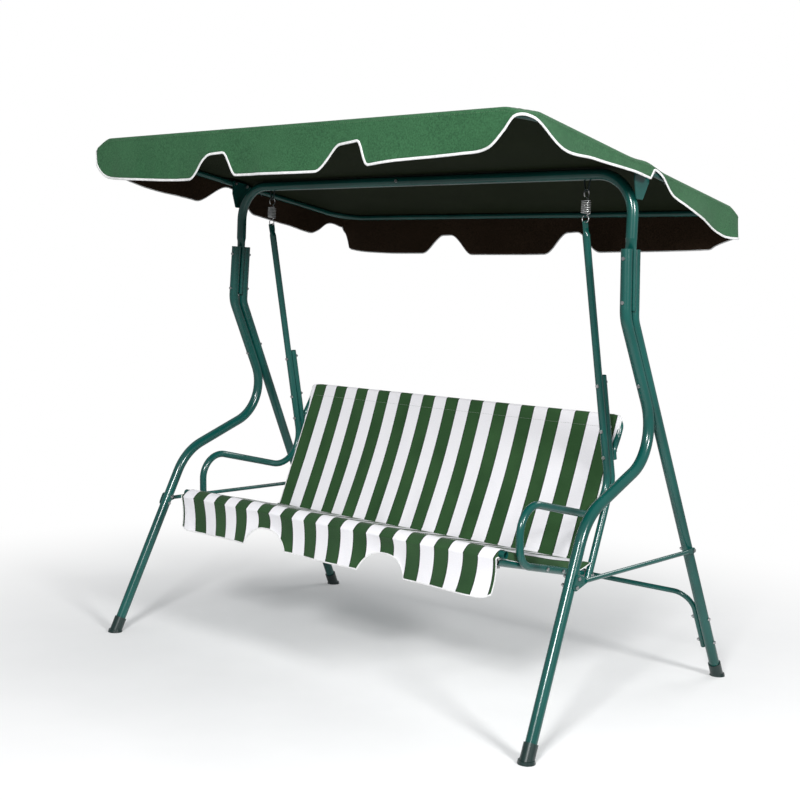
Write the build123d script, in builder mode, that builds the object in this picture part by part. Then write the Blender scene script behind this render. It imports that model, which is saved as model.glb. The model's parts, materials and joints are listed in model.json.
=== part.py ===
from build123d import *
import os

# Canopy swing bench: a tube stand with an S-bent front leg and a straight rear
# leg on each side, a top beam, a seat hung from it on two springs, and a fabric
# canopy on its own tube frame.  X runs along the bench, -Y is its front, +Z is
# up, and the origin is on the floor under the middle of the overall box.

# ---- overall layout ---------------------------------------------------------
beam_y = -11.5            # the beam's upright plane, seen from the origin
leg_top_x = 779.0         # half the distance between the leg tops
leg_top_z = 1310.0
leg_splay = 0.0389        # each leg runs outward by this much per mm of fall
leg_d = 32.0
leg_wall = 1.5

# ---- legs, as (distance behind the beam plane, height) ----------------------
leg_gap = 12.0            # the flattened beam end between the two leg tops
leg_pitch = (leg_gap + leg_d) / 2
front_knee_z = 1122.0     # where the front leg starts to lean back
front_elbow = (177.0, 749.0)
front_heel = (-207.0, 593.5)
front_foot_y = -474.5
front_knee_r = 90.0
front_elbow_r = 138.0
front_heel_r = 180.0
rear_knee_z = 1116.0
rear_knee_r = 60.0
rear_foot_y = 600.5
leg_end_z = 6.0

# ---- top beam ---------------------------------------------------------------
beam_z = 1518.0
beam_bend_r = 115.0
tab_top_z = 1340.0        # the beam tube starts to flatten here
tab_flat_z = 1312.0
tab_end_z = 1143.0
tab_w = 34.0
tab_play = 0.6
beam_half_gap = 0.3       # half the seam between the beam's two halves
splice_len = 100.0
splice_d = 28.4
splice_bolt_x = -60.0
collar_play = 0.2         # the solid stretch behind each plugged end
clamp_bolt_z = (1283.0, 1163.0)
meet_bolt_z = 948.0

# ---- feet -------------------------------------------------------------------
cap_d = 39.0
cap_len = 50.0
cap_flange_d = 48.0
cap_flange_t = 9.0
cap_floor = 5.0

# ---- side braces and rear crossbar ------------------------------------------
brace_z = 431.0
brace_d = 13.0
brace_tab_t = 4.0
brace_bolt_gap = 22.0
brace_play = 1.2          # air between a brace's tabs and the splayed leg
crossbar_d = 16.0
crossbar_z = 278.0
crossbar_end_z = 99.0
crossbar_bend_r = 62.0
crossbar_bolt_z = (200.0, 120.0)

# ---- canopy -----------------------------------------------------------------
canopy_tan = 0.1317       # the canopy falls towards the rear by 7.5 degrees
canopy_bar_z = 1527.0     # tube centre over the beam
canopy_d = 19.0
canopy_bar_x = 808.5
canopy_front_y = -588.0
canopy_rear_y = 570.0
canopy_corner_r = 105.0
canopy_splice_y = 137.0
canopy_splice_len = 60.0
canopy_splice_d = 15.6
cover_t = 2.2
cover_x = 824.0           # outer half width of the cover
cover_front_y = -601.5
cover_rear_y = 583.5
cover_rise = 10.3         # underside of the cover above the tube centres
valance_end_drop = 136.0  # hem below the roof's edge, front and rear
valance_side_drop = 102.0
valance_arch_top = 62.0
valance_side_arch_top = 26.0
valance_corner_drop = 26.0
valance_arch_x = 258.0
valance_arch_half = 88.0
bracket_bolts_y = (-18.0, 33.0)
bracket_t = 3.0

# ---- swing hooks and springs ------------------------------------------------
hook_x = 629.0
swing_axis_z = 1476.0     # top of the hook's lowest run, where the spring hangs
hook_wire = 2.5
hook_low_half = 4.5
hook_top_half = 11.0
hook_bend_r = 4.0
spring_wire = 2.0
spring_loop_r = 12.5      # upper loop, round the hook
spring_end_r = 10.5       # lower loop, through the hanger's ear
spring_coil_r = 12.5
spring_turns = 7
spring_link_d = 3.5       # links between the loops and the coil
spring_arm_d = 3.2
spring_top_z = 1446.0
spring_bottom_z = 1410.0
hang_hole_z = 1384.0

# ---- seat frame, as (distance behind the beam plane, height) ----------------
seat_d = 22.0
seat_wall = 1.2
side_top_x = 629.0
side_splay = 0.0139
hanger_slope = 0.2445     # the hangers lean back by this much per mm of fall
hanger_flat_z = 1350.0
arm_low = (212.0, 517.0)
arm_front = (-276.0, 620.0)
arm_low_r = 100.0
arm_front_r = 75.0
arm_foot_y = -266.0
arm_foot_r = 60.0
arm_end_y = -40.0
sling_front = (-338.0, 495.0)
sling_slope = 0.2136
rail_drop = 36.0          # rail centre below the sling's surface
rail_x = 619.6
rail_rear_y = 124.0
bar_drop = 13.2           # centre of the front and rear bars below the sling
rear_bar_y = 90.0
bar_half = 645.0
upright_top_z = 950.0
upright_offset = 23.4
upright_knee_z = 634.0
upright_knee_r = 60.0
upright_foot = (91.0, 354.0)
upright_foot_bolt_y = 96.0
back_top = (256.0, 817.0)
back_d = 19.0
back_arm = (231.0, 762.0)
back_knee_z = 722.0       # below this the hoop's arms run along the uprights
back_end_z = 698.0
back_bolt_z = 709.0
back_offset = 21.9        # the arms behind the uprights, along Y
back_radii = [22.0, 40.0, 34.0]
back_slope = 0.4005

# ---- seat sling -------------------------------------------------------------
sling_t = 2.0
sling_half = 627.0
sling_front_half = 645.0
wrap_half = 596.0         # the rear wrap stops short of the rails
skirt_drop = 134.0
skirt_arch_drop = 62.0
skirt_arch_x = 240.0
skirt_arch_half = 78.0
back_bottom_z = 409.0

# ---- fasteners --------------------------------------------------------------
m6 = 6.0
m6_head = 11.0
m6_head_t = 4.0
m6_nut_t = 5.0
bar_screw_head_drop = 12.9   # head clear of the sloping rail above it
hole_play = 0.5


def leg_x(z):
    return leg_top_x + (leg_top_z - z) * leg_splay


def side_x(z):
    return side_top_x + (hang_hole_z - z) * side_splay


def leg_point(side, y, z):
    return Vector(side * leg_x(z), beam_y + y, z)


def seat_point(side, y, z):
    return Vector(side * side_x(z), beam_y + y, z)


def hanger_y(z):
    return (hang_hole_z - z) * hanger_slope


def sling_z(y):
    return sling_front[1] - (y - sling_front[0]) * sling_slope


def rail_point(side, y):
    return Vector(side * rail_x, beam_y + y, sling_z(y) - rail_drop)


def canopy_z(y):
    return canopy_bar_z - canopy_tan * y


def round_path(points, radii):
    """Straight runs joined by arcs; radii holds one value per inner point."""
    here = Vector(points[0])
    for index, radius in enumerate(radii):
        corner = Vector(points[index + 1])
        ahead = Vector(points[index + 2])
        back_dir = (Vector(points[index]) - corner).normalized()
        ahead_dir = (ahead - corner).normalized()
        bisector = (back_dir + ahead_dir).normalized()
        cos_half = back_dir.dot(bisector)
        sin_half = (1 - cos_half ** 2) ** 0.5
        run = radius * cos_half / sin_half
        start = corner + back_dir * run
        finish = corner + ahead_dir * run
        middle = corner + bisector * (radius / sin_half - radius)
        Line(here, start)
        ThreePointArc(start, middle, finish)
        here = finish
    Line(here, Vector(points[-1]))


def tube(points, radii, outer, wall):
    """Sweep a round hollow section along a rounded path."""
    with BuildLine() as path:
        round_path(points, radii)
    aim = Vector(points[1]) - Vector(points[0])
    with BuildSketch(Plane(origin=points[0], z_dir=aim)) as section:
        Circle(outer / 2)
        Circle(outer / 2 - wall, mode=Mode.SUBTRACT)
    sweep(section.sketch, path=path.line)


def rod(start, finish, diameter, mode=Mode.ADD):
    """A straight round bar between two points."""
    run = Vector(finish) - Vector(start)
    with BuildSketch(Plane(origin=start, z_dir=run)) as section:
        Circle(diameter / 2)
    extrude(section.sketch, amount=run.length, mode=mode)


def drill(centre, axis, diameter, reach):
    """Cut a round hole both ways from a point along an axis."""
    with BuildSketch(Plane(origin=centre, z_dir=axis)) as section:
        Circle(diameter / 2)
    extrude(section.sketch, amount=reach, both=True, mode=Mode.SUBTRACT)


def hex_bolt(centre, axis, grip, tail=8.0):
    """Hex head before the grip, shank through it and out by the tail."""
    aim = Vector(axis).normalized()
    face = Vector(centre) - aim * (grip / 2)
    with BuildSketch(Plane(origin=face, z_dir=aim * -1)) as head:
        RegularPolygon(m6_head / 2, 6)
    extrude(head.sketch, amount=m6_head_t)
    rod(face, face + aim * (grip + tail), m6)


def hex_nut(centre, axis, grip):
    """The nut that closes a hex bolt of the same centre, axis and grip."""
    aim = Vector(axis).normalized()
    face = Vector(centre) + aim * (grip / 2)
    with BuildSketch(Plane(origin=face, z_dir=aim)) as ring:
        RegularPolygon(m6_head / 2, 6)
        Circle(m6 / 2 + 0.15, mode=Mode.SUBTRACT)
    extrude(ring.sketch, amount=m6_nut_t)


def save(piece, label):
    piece.part.label = label
    export_step(piece.part, f"parts/{label}.step")


sides = {"left": -1, "right": 1}
os.makedirs("parts", exist_ok=True)

# ---- where the fasteners sit ------------------------------------------------
rear_slope = (rear_foot_y - leg_pitch) / rear_knee_z
lean = Vector(0, 1, rear_slope).normalized()


def rear_leg_y(z):
    return leg_pitch + (rear_knee_z - z) * rear_slope


def front_leg_y(z):
    """Lower run of the front leg, from the floor to its heel bend."""
    return front_foot_y + (front_heel[0] - front_foot_y) * z / front_heel[1]


front_back_slope = (front_elbow[0] + leg_pitch) / (front_knee_z - front_elbow[1])
meet_front_y = -leg_pitch + (front_knee_z - meet_bolt_z) * front_back_slope
meet_rear_y = rear_leg_y(meet_bolt_z)
meet_y = (meet_front_y + meet_rear_y) / 2
meet_grip = (meet_rear_y - meet_front_y) * lean.Y + leg_d
clamp_grip = leg_gap + 2 * leg_d

brace_x = leg_x(brace_z) + leg_d / 2 + brace_tab_t / 2 + brace_play
brace_front_z = (brace_z + brace_bolt_gap / 2, brace_z - brace_bolt_gap / 2)
brace_grip = leg_d + brace_tab_t + brace_play
crossbar_gap = (leg_d + crossbar_d) / 2 + 0.4
crossbar_grip = leg_d + crossbar_d + 0.8


hook_low_z = swing_axis_z - hook_wire
hook_top_z = beam_z - leg_d / 2 + 9
hook_rise = (beam_z - leg_d / 2 - hook_low_z) / (hook_top_z - hook_low_z)
hook_hole_half = hook_low_half + (hook_top_half - hook_low_half) * hook_rise


def clamp_points(side):
    return [leg_point(side, 0, z) for z in clamp_bolt_z]


def brace_points(side):
    """Bolt centres at the front and rear ends of a side brace."""
    spots = [leg_point(side, front_leg_y(z), z) for z in brace_front_z]
    spots.append(leg_point(side, rear_leg_y(brace_z), brace_z))
    shift = Vector(side * (brace_tab_t + brace_play) / 2, 0, 0)
    return [spot + shift for spot in spots]


def crossbar_points(side):
    shift = Vector(-side * crossbar_d / 2, 0, 0)
    return [leg_point(side, rear_leg_y(z), z) + shift for z in crossbar_bolt_z]


# ---- front and rear legs ----------------------------------------------------
for word, side in sides.items():
    with BuildPart() as leg_front:
        tube(
            [
                leg_point(side, -leg_pitch, leg_top_z),
                leg_point(side, -leg_pitch, front_knee_z),
                leg_point(side, *front_elbow),
                leg_point(side, *front_heel),
                leg_point(side, front_foot_y, 0),
            ],
            [front_knee_r, front_elbow_r, front_heel_r],
            leg_d,
            leg_wall,
        )
        split(bisect_by=Plane.XY.offset(leg_end_z), keep=Keep.TOP)
        for spot in clamp_points(side):
            drill(spot, (0, 1, 0), m6 + hole_play, leg_d * 2)
        drill(leg_point(side, meet_y, meet_bolt_z), lean, m6 + hole_play, leg_d * 2)
        for spot in brace_points(side)[:2]:
            drill(spot, (1, 0, 0), m6 + hole_play, leg_d)
    save(leg_front, f"front_leg_{word}")

    with BuildPart() as leg_rear:
        tube(
            [
                leg_point(side, leg_pitch, leg_top_z),
                leg_point(side, leg_pitch, rear_knee_z),
                leg_point(side, rear_foot_y, 0),
            ],
            [rear_knee_r],
            leg_d,
            leg_wall,
        )
        split(bisect_by=Plane.XY.offset(leg_end_z), keep=Keep.TOP)
        for spot in clamp_points(side):
            drill(spot, (0, 1, 0), m6 + hole_play, leg_d * 2)
        drill(leg_point(side, meet_y, meet_bolt_z), lean, m6 + hole_play, leg_d * 2)
        for spot in brace_points(side)[2:] + crossbar_points(side):
            drill(spot, (1, 0, 0), m6 + hole_play, leg_d)
    save(leg_rear, f"rear_leg_{word}")

# ---- foot caps --------------------------------------------------------------
with BuildPart() as foot_caps:
    for side in sides.values():
        for toe_y, slope in (
            (front_foot_y, (front_heel[0] - front_foot_y) / front_heel[1]),
            (rear_foot_y, -rear_slope),
        ):
            toe = Vector(side * leg_x(0), beam_y + toe_y, 0)
            up_leg = Vector(-side * leg_splay, slope, 1).normalized()
            rod(toe - up_leg * cap_len, toe + up_leg * cap_len, cap_d)
            with BuildSketch(Plane(origin=toe)) as flange:
                Circle(cap_flange_d / 2)
            extrude(flange.sketch, amount=cap_flange_t, taper=14)
    split(bisect_by=Plane.XY, keep=Keep.TOP)
    for side in sides.values():
        for toe_y, slope in (
            (front_foot_y, (front_heel[0] - front_foot_y) / front_heel[1]),
            (rear_foot_y, -rear_slope),
        ):
            toe = Vector(side * leg_x(0), beam_y + toe_y, 0)
            up_leg = Vector(-side * leg_splay, slope, 1).normalized()
            with BuildPart(mode=Mode.PRIVATE) as bore:
                rod(toe - up_leg * cap_len, toe + up_leg * cap_len * 2, leg_d + 0.6)
                split(bisect_by=Plane.XY.offset(cap_floor), keep=Keep.TOP)
            add(bore.part, mode=Mode.SUBTRACT)
save(foot_caps, "foot_caps")

# ---- the top beam's two halves ----------------------------------------------
for word, side in sides.items():
    with BuildPart() as beam:
        tube(
            [
                (side * beam_half_gap, beam_y, beam_z),
                (side * leg_top_x, beam_y, beam_z),
                (side * leg_top_x, beam_y, tab_top_z),
            ],
            [beam_bend_r],
            leg_d,
            leg_wall,
        )
        with BuildSketch(Plane.XY.offset(tab_top_z)) as round_end:
            with Locations((side * leg_top_x, beam_y)):
                Circle(leg_d / 2)
        with BuildSketch(Plane.XY.offset(tab_flat_z)) as flat_end:
            with Locations((side * leg_top_x, beam_y)):
                SlotOverall(tab_w, leg_gap - tab_play)
        loft([flat_end.sketch, round_end.sketch])
        tab_run = leg_point(side, 0, tab_end_z) - leg_point(side, 0, tab_flat_z)
        with BuildSketch(Plane.XY.offset(tab_flat_z)) as tab:
            with Locations((side * leg_top_x, beam_y)):
                SlotOverall(tab_w, leg_gap - tab_play)
        extrude(tab.sketch, amount=tab_run.length, dir=tab_run)
        for leg_x_offset in (-hook_hole_half, hook_hole_half):
            hook_hole = (side * hook_x + leg_x_offset, beam_y, beam_z - leg_d / 2)
            drill(hook_hole, (0, 0, 1), 2 * hook_wire + 1.4, 4)
        for spot in clamp_points(side):
            drill(spot, (0, 1, 0), m6 + hole_play, leg_d)
        if side > 0:
            collar_end = (beam_half_gap, beam_y, beam_z)
            rod((splice_d, beam_y, beam_z), collar_end, leg_d - collar_play)
            rod((splice_d, beam_y, beam_z), (-splice_len, beam_y, beam_z), splice_d)
            rod(
                (splice_d + 1, beam_y, beam_z),
                (-splice_len, beam_y, beam_z),
                splice_d - 2 * leg_wall,
                Mode.SUBTRACT,
            )
        drill((splice_bolt_x, beam_y, beam_z), (0, 1, 0), m6 + hole_play, leg_d)
    save(beam, f"top_beam_{word}")

# ---- side braces ------------------------------------------------------------
for word, side in sides.items():
    front_bolts = [(beam_y + front_leg_y(z), z) for z in brace_front_z]
    rear_bolt = (beam_y + rear_leg_y(brace_z), brace_z)
    neck_front = beam_y + front_leg_y(brace_z) + 42
    neck_rear = rear_bolt[0] - 40
    with BuildPart() as brace:
        rod(
            (side * brace_x, neck_front, brace_z),
            (side * brace_x, neck_rear, brace_z),
            brace_d,
        )
        with BuildSketch(Plane.YZ.offset(side * brace_x)) as front_tab:
            with Locations(*front_bolts):
                Circle(10)
            with Locations((neck_front + 4, brace_z)):
                Circle(brace_d / 2)
            make_hull()
        extrude(front_tab.sketch, amount=brace_tab_t / 2, both=True)
        with BuildSketch(Plane.YZ.offset(side * brace_x)) as rear_tab:
            with Locations(rear_bolt):
                Circle(9)
            with Locations((neck_rear - 4, brace_z)):
                Circle(brace_d / 2)
            make_hull()
        extrude(rear_tab.sketch, amount=brace_tab_t / 2, both=True)
        for spot in brace_points(side):
            drill(spot, (1, 0, 0), m6 + hole_play, leg_d)
    save(brace, f"side_brace_{word}")

# ---- rear crossbar ----------------------------------------------------------
with BuildPart() as crossbar:
    corners = []
    for side, height in (
        (1, crossbar_end_z),
        (1, crossbar_z),
        (-1, crossbar_z),
        (-1, crossbar_end_z),
    ):
        shift = Vector(-side * crossbar_gap, 0, 0)
        corners.append(leg_point(side, rear_leg_y(height), height) + shift)
    tube(corners, [crossbar_bend_r, crossbar_bend_r], crossbar_d, leg_wall)
    for side in sides.values():
        for spot in crossbar_points(side):
            drill(spot, (1, 0, 0), m6 + hole_play, leg_d)
save(crossbar, "rear_crossbar")

# ---- canopy brackets --------------------------------------------------------
for word, side in sides.items():
    with BuildPart() as bracket:
        inner = leg_top_x + leg_d / 2 + 0.2
        low_z = beam_z - 72
        with BuildSketch(Plane.YZ.offset(side * inner)) as plate:
            with BuildLine():
                Polyline(
                    (beam_y - 16, low_z),
                    (beam_y - 32, beam_z - 24),
                    (beam_y - 32, canopy_z(-32) + 8),
                    (beam_y + 46, canopy_z(46) + 8),
                    (beam_y + 46, beam_z - 24),
                    (beam_y + 16, low_z),
                    close=True,
                )
            make_face()
            fillet(plate.vertices(), 5)
        extrude(plate.sketch, amount=side * bracket_t)
        for bolt_y in bracket_bolts_y:
            spot = (side * inner, beam_y + bolt_y, canopy_z(bolt_y))
            drill(spot, (1, 0, 0), m6 + hole_play, 10)
    save(bracket, f"canopy_bracket_{word}")

# ---- canopy frame: a front and a rear hoop that plug together ---------------
with BuildPart() as hoop_front:
    corners = []
    for side, along in (
        (1, canopy_splice_y),
        (1, canopy_front_y),
        (-1, canopy_front_y),
        (-1, canopy_splice_y),
    ):
        corners.append((side * canopy_bar_x, beam_y + along, canopy_z(along)))
    tube(corners, [canopy_corner_r] * 2, canopy_d, 1.2)
    for side in sides.values():
        for bolt_y in bracket_bolts_y:
            spot = (side * canopy_bar_x, beam_y + bolt_y, canopy_z(bolt_y))
            drill(spot, (1, 0, 0), m6 + hole_play, canopy_d)
        screw_y = canopy_splice_y - 16
        spot = (side * canopy_bar_x, beam_y + screw_y, canopy_z(screw_y))
        drill(spot, (0, canopy_tan, 1), 4.4, canopy_d)
save(hoop_front, "canopy_hoop_front")

with BuildPart() as hoop_rear:
    corners = []
    for side, along in (
        (1, canopy_splice_y + 0.5),
        (1, canopy_rear_y),
        (-1, canopy_rear_y),
        (-1, canopy_splice_y + 0.5),
    ):
        corners.append((side * canopy_bar_x, beam_y + along, canopy_z(along)))
    tube(corners, [canopy_corner_r] * 2, canopy_d, 1.2)
    for side in sides.values():
        ends = []
        for along in (canopy_splice_y + 14, canopy_splice_y - canopy_splice_len):
            ends.append((side * canopy_bar_x, beam_y + along, canopy_z(along)))
        mouth_y = canopy_splice_y + 0.5
        mouth = (side * canopy_bar_x, beam_y + mouth_y, canopy_z(mouth_y))
        rod(mouth, ends[0], canopy_d - collar_play)
        rod(*ends, canopy_splice_d)
        screw_y = canopy_splice_y - 16
        spot = (side * canopy_bar_x, beam_y + screw_y, canopy_z(screw_y))
        drill(spot, (0, canopy_tan, 1), 4.4, canopy_d)
save(hoop_rear, "canopy_hoop_rear")

with BuildPart() as hoop_screws:
    for side in sides.values():
        screw_y = canopy_splice_y - 16
        up = Vector(0, canopy_tan, 1).normalized()
        centre = Vector(side * canopy_bar_x, beam_y + screw_y, canopy_z(screw_y))
        rod(centre - up * 13, centre + up * 9, 4)
        rod(centre - up * 12.4, centre - up * 9.7, 8)
save(hoop_screws, "canopy_hoop_screws")


# ---- canopy cover -----------------------------------------------------------
def hem(half, drop, arches, arch_half, arch_top, fall=0.0):
    """Closed strip below an edge that falls along it, with arches cut up."""
    outline_points = []
    for along, down in (
        (-half, 0),
        (-half, valance_corner_drop),
        (-half + 34, drop - 26),
        (-half + 74, drop),
        (half - 74, drop),
        (half - 34, drop - 26),
        (half, valance_corner_drop),
        (half, 0),
    ):
        outline_points.append((along, -down - fall * along))
    with BuildLine() as outline:
        Polyline(*outline_points, close=True)
    make_face(outline.edges())
    for centre in arches:
        with Locations((centre, -drop - fall * centre)):
            Ellipse(arch_half, drop - arch_top, mode=Mode.SUBTRACT)


roof_top = canopy_bar_z + (cover_rise + cover_t)
mid_y = (cover_front_y + cover_rear_y) / 2
half_y = (cover_rear_y - cover_front_y) / 2
roof_front_z = roof_top - canopy_tan * cover_front_y
roof_rear_z = roof_top - canopy_tan * cover_rear_y

with BuildPart() as cover:
    with BuildSketch(Plane.YZ.offset(-cover_x)) as roof:
        with BuildLine():
            Polyline(
                (beam_y + cover_front_y, roof_front_z),
                (beam_y + cover_rear_y, roof_rear_z),
                (beam_y + cover_rear_y, roof_rear_z - cover_t),
                (beam_y + cover_front_y, roof_front_z - cover_t),
                close=True,
            )
        make_face()
    extrude(roof.sketch, amount=2 * cover_x)
    for y_edge, z_edge, inward in (
        (cover_front_y, roof_front_z, 1),
        (cover_rear_y, roof_rear_z, -1),
    ):
        face_plane = Plane(
            origin=(0, beam_y + y_edge, z_edge),
            x_dir=(1, 0, 0),
            z_dir=(0, -1, 0),
        )
        with BuildSketch(face_plane) as end_strip:
            hem(
                cover_x,
                valance_end_drop,
                (-valance_arch_x, valance_arch_x),
                valance_arch_half,
                valance_arch_top,
            )
        extrude(end_strip.sketch, amount=-inward * cover_t)
    for side in sides.values():
        side_plane = Plane(
            origin=(side * cover_x, beam_y + mid_y, (roof_front_z + roof_rear_z) / 2),
            x_dir=(0, 1, 0),
            z_dir=(1, 0, 0),
        )
        with BuildSketch(side_plane) as side_strip:
            hem(
                half_y - 0.3,
                valance_side_drop,
                (10,),
                valance_arch_half + 22,
                valance_side_arch_top,
                canopy_tan,
            )
        extrude(side_strip.sketch, amount=-side * cover_t)
save(cover, "canopy_cover")

# ---- hooks: bent rods that come down through the beam's lower wall ----------
with BuildPart() as hooks:
    for side in sides.values():
        with BuildLine() as bent:
            round_path(
                [
                    Vector(side * hook_x - hook_top_half, beam_y, hook_top_z),
                    Vector(side * hook_x - hook_low_half, beam_y, hook_low_z),
                    Vector(side * hook_x + hook_low_half, beam_y, hook_low_z),
                    Vector(side * hook_x + hook_top_half, beam_y, hook_top_z),
                ],
                [hook_bend_r, hook_bend_r],
            )
        with BuildSketch(Plane(origin=bent.line @ 0, z_dir=bent.line % 0)) as wire:
            Circle(hook_wire)
        sweep(wire.sketch, path=bent.line)
save(hooks, "hook_eyes")

# ---- extension springs ------------------------------------------------------
for word, side in sides.items():
    with BuildPart() as spring:
        pitch = (spring_top_z - spring_bottom_z) / spring_turns
        with BuildLine() as coil:
            Helix(
                pitch=pitch,
                height=spring_top_z - spring_bottom_z,
                radius=spring_coil_r,
                center=(side * hook_x, beam_y, spring_bottom_z),
            )
        with BuildSketch(Plane(origin=coil.line @ 0, z_dir=coil.line % 0)) as wire:
            Circle(spring_wire)
        sweep(wire.sketch, path=coil.line, is_frenet=True)
        loop_top_z = swing_axis_z + spring_wire + 0.3
        for loop_z, radius, turn_z, ring_plane, ring_spot, turn_axis in (
            (
                loop_top_z - spring_loop_r,
                spring_loop_r,
                spring_top_z,
                Plane.XZ.offset(-beam_y),
                (side * hook_x, loop_top_z),
                (1, 0, 0),
            ),
            (
                hang_hole_z + spring_end_r,
                spring_end_r,
                spring_bottom_z,
                Plane.YZ.offset(side * hook_x),
                (beam_y, hang_hole_z + 2 * spring_end_r),
                (0, 1, 0),
            ),
        ):
            with BuildSketch(ring_plane) as ring:
                with Locations(ring_spot):
                    Circle(spring_wire)
            loop_axis = Axis((side * hook_x, beam_y, loop_z), turn_axis)
            revolve(ring.sketch, axis=loop_axis)
            toward = 1 if turn_z > loop_z else -1
            rod(
                (side * hook_x, beam_y, loop_z + toward * radius),
                (side * hook_x, beam_y, turn_z + toward * 0.4),
                spring_link_d,
            )
            rod(
                (side * hook_x - 1, beam_y, turn_z),
                (side * hook_x + spring_coil_r, beam_y, turn_z),
                spring_arm_d,
            )
    save(spring, f"spring_{word}")

# ---- seat side tubes: hanger, armrest and front loop in one bend ------------
hanger_stretch = (1 + hanger_slope ** 2) ** 0.5
hanger_cross = Vector(0, 1, hanger_slope).normalized()
side_bolt_y = (-146.0, -64.0)
upright_bolt_z = (925.0, 790.0)


def behind_hanger(side, height, offset):
    """A point level with a hanger's axis, moved back along Y by the offset."""
    return seat_point(side, hanger_y(height) + offset, height)


def back_bolt(side):
    """Middle of the bolt through hanger, upright and back frame."""
    front_face = -seat_d / 2
    rear_face = (upright_offset + back_offset) / hanger_stretch + back_d / 2
    axis_point = behind_hanger(side, back_bolt_z, 0)
    return axis_point + hanger_cross * ((front_face + rear_face) / 2)


def foot_bolt(side):
    """Where an upright's foot is bolted to the rail, on the rail's axis."""
    return rail_point(side, upright_foot_bolt_y)


def upright_bolts(side):
    spots = []
    for height in upright_bolt_z:
        middle = hanger_y(height) + upright_offset / 2
        spots.append(seat_point(side, middle, height))
    return spots


side = sides["right"]
with BuildPart() as side_tube_right:
    tube(
        [
            seat_point(side, hanger_y(hanger_flat_z), hanger_flat_z),
            seat_point(side, *arm_low),
            seat_point(side, *arm_front),
            seat_point(side, arm_foot_y, sling_z(arm_foot_y) - rail_drop),
            seat_point(side, arm_end_y, sling_z(arm_end_y) - rail_drop),
        ],
        [arm_low_r, arm_front_r, arm_foot_r],
        seat_d,
        seat_wall,
    )
    top = seat_point(side, hanger_y(hanger_flat_z), hanger_flat_z)
    rise = seat_point(side, 0, hang_hole_z) - top
    round_plane = Plane(origin=top, x_dir=(0, 1, hanger_slope), z_dir=rise)
    with BuildSketch(round_plane) as neck_low:
        Circle(seat_d / 2)
    with BuildSketch(round_plane.offset(20)) as neck_high:
        SlotOverall(26, 5)
    loft([neck_low.sketch, neck_high.sketch])
    with BuildSketch(round_plane.offset(20)) as ear:
        SlotOverall(26, 5)
    extrude(ear.sketch, amount=rise.length + 5.5 - 20)
    drill(seat_point(side, 0, hang_hole_z), (1, 0, 0), 6.4, seat_d)
    for bolt_y in side_bolt_y:
        drill(rail_point(side, bolt_y), (1, 0, 0), m6 + hole_play, 60)
    for spot in upright_bolts(side) + [back_bolt(side)]:
        drill(spot, hanger_cross, m6 + hole_play, 40)
save(side_tube_right, "seat_side_tube_right")

with BuildPart() as side_tube_left:
    mirror(side_tube_right.part, about=Plane.YZ)
save(side_tube_left, "seat_side_tube_left")

for word, side in sides.items():
    with BuildPart() as upright:
        top_y = hanger_y(upright_top_z) + upright_offset
        knee_y = hanger_y(upright_knee_z) + upright_offset
        tube(
            [
                seat_point(side, top_y, upright_top_z),
                seat_point(side, knee_y, upright_knee_z),
                seat_point(side, *upright_foot),
            ],
            [upright_knee_r],
            seat_d,
            seat_wall,
        )
        for spot in upright_bolts(side) + [back_bolt(side)]:
            drill(spot, hanger_cross, m6 + hole_play, 40)
        drill(foot_bolt(side), (1, 0, 0), m6 + hole_play, 40)
    save(upright, f"back_upright_{word}")

    with BuildPart() as rail:
        tube(
            [rail_point(side, sling_front[0] - 8), rail_point(side, rail_rear_y)],
            [],
            seat_d,
            seat_wall,
        )
        for bolt_y in side_bolt_y:
            drill(rail_point(side, bolt_y), (1, 0, 0), m6 + hole_play, 60)
        drill(foot_bolt(side), (1, 0, 0), m6 + hole_play, 40)
        for bolt_y in (sling_front[0], rear_bar_y):
            drill(rail_point(side, bolt_y), (0, 0, 1), m6 + hole_play, 20)
    save(rail, f"seat_rail_{word}")

# ---- seat bars under the sling's front and rear edges -----------------------
for label, bar_y in (("seat_bar_front", sling_front[0]), ("seat_bar_rear", rear_bar_y)):
    half = bar_half if bar_y < 0 else sling_half
    with BuildPart() as bar:
        height = sling_z(bar_y) - bar_drop
        tube(
            [(-half, beam_y + bar_y, height), (half, beam_y + bar_y, height)],
            [],
            seat_d,
            seat_wall,
        )
        for side in sides.values():
            spot = Vector(side * rail_x, beam_y + bar_y, height)
            under = spot - Vector(0, 0, seat_d / 2 + 1)
            rod(spot, under, m6 + hole_play, Mode.SUBTRACT)
    save(bar, label)

# ---- back frame: the hoop that the back sling hangs on ----------------------
with BuildPart() as back_frame:
    corners = []
    for side in (1, -1):
        arm = [
            behind_hanger(side, back_end_z, upright_offset + back_offset),
            behind_hanger(side, back_knee_z, upright_offset + back_offset),
            seat_point(side, *back_arm),
            seat_point(side, *back_top),
        ]
        corners += arm if side > 0 else arm[::-1]
    tube(corners, back_radii + back_radii[::-1], back_d, seat_wall)
    for side in sides.values():
        drill(back_bolt(side), hanger_cross, m6 + hole_play, 40)
save(back_frame, "back_frame")

# ---- seat sling: skirt, seat and rear wrap in one strip ---------------------
wrap = seat_d / 2 + 0.6 + sling_t / 2
slope_dir = Vector(0, 1, -sling_slope).normalized()
slope_up = Vector(0, sling_slope, 1).normalized()


def wrap_point(centre_y, centre_z, direction):
    """A point on the sling's middle line where it lies on a bar."""
    return (centre_y + beam_y + direction[0] * wrap, centre_z + direction[1] * wrap)


front_c = (sling_front[0], sling_z(sling_front[0]) - bar_drop)
rear_c = (rear_bar_y, sling_z(rear_bar_y) - bar_drop)
up = (slope_up.Y, slope_up.Z)

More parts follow.
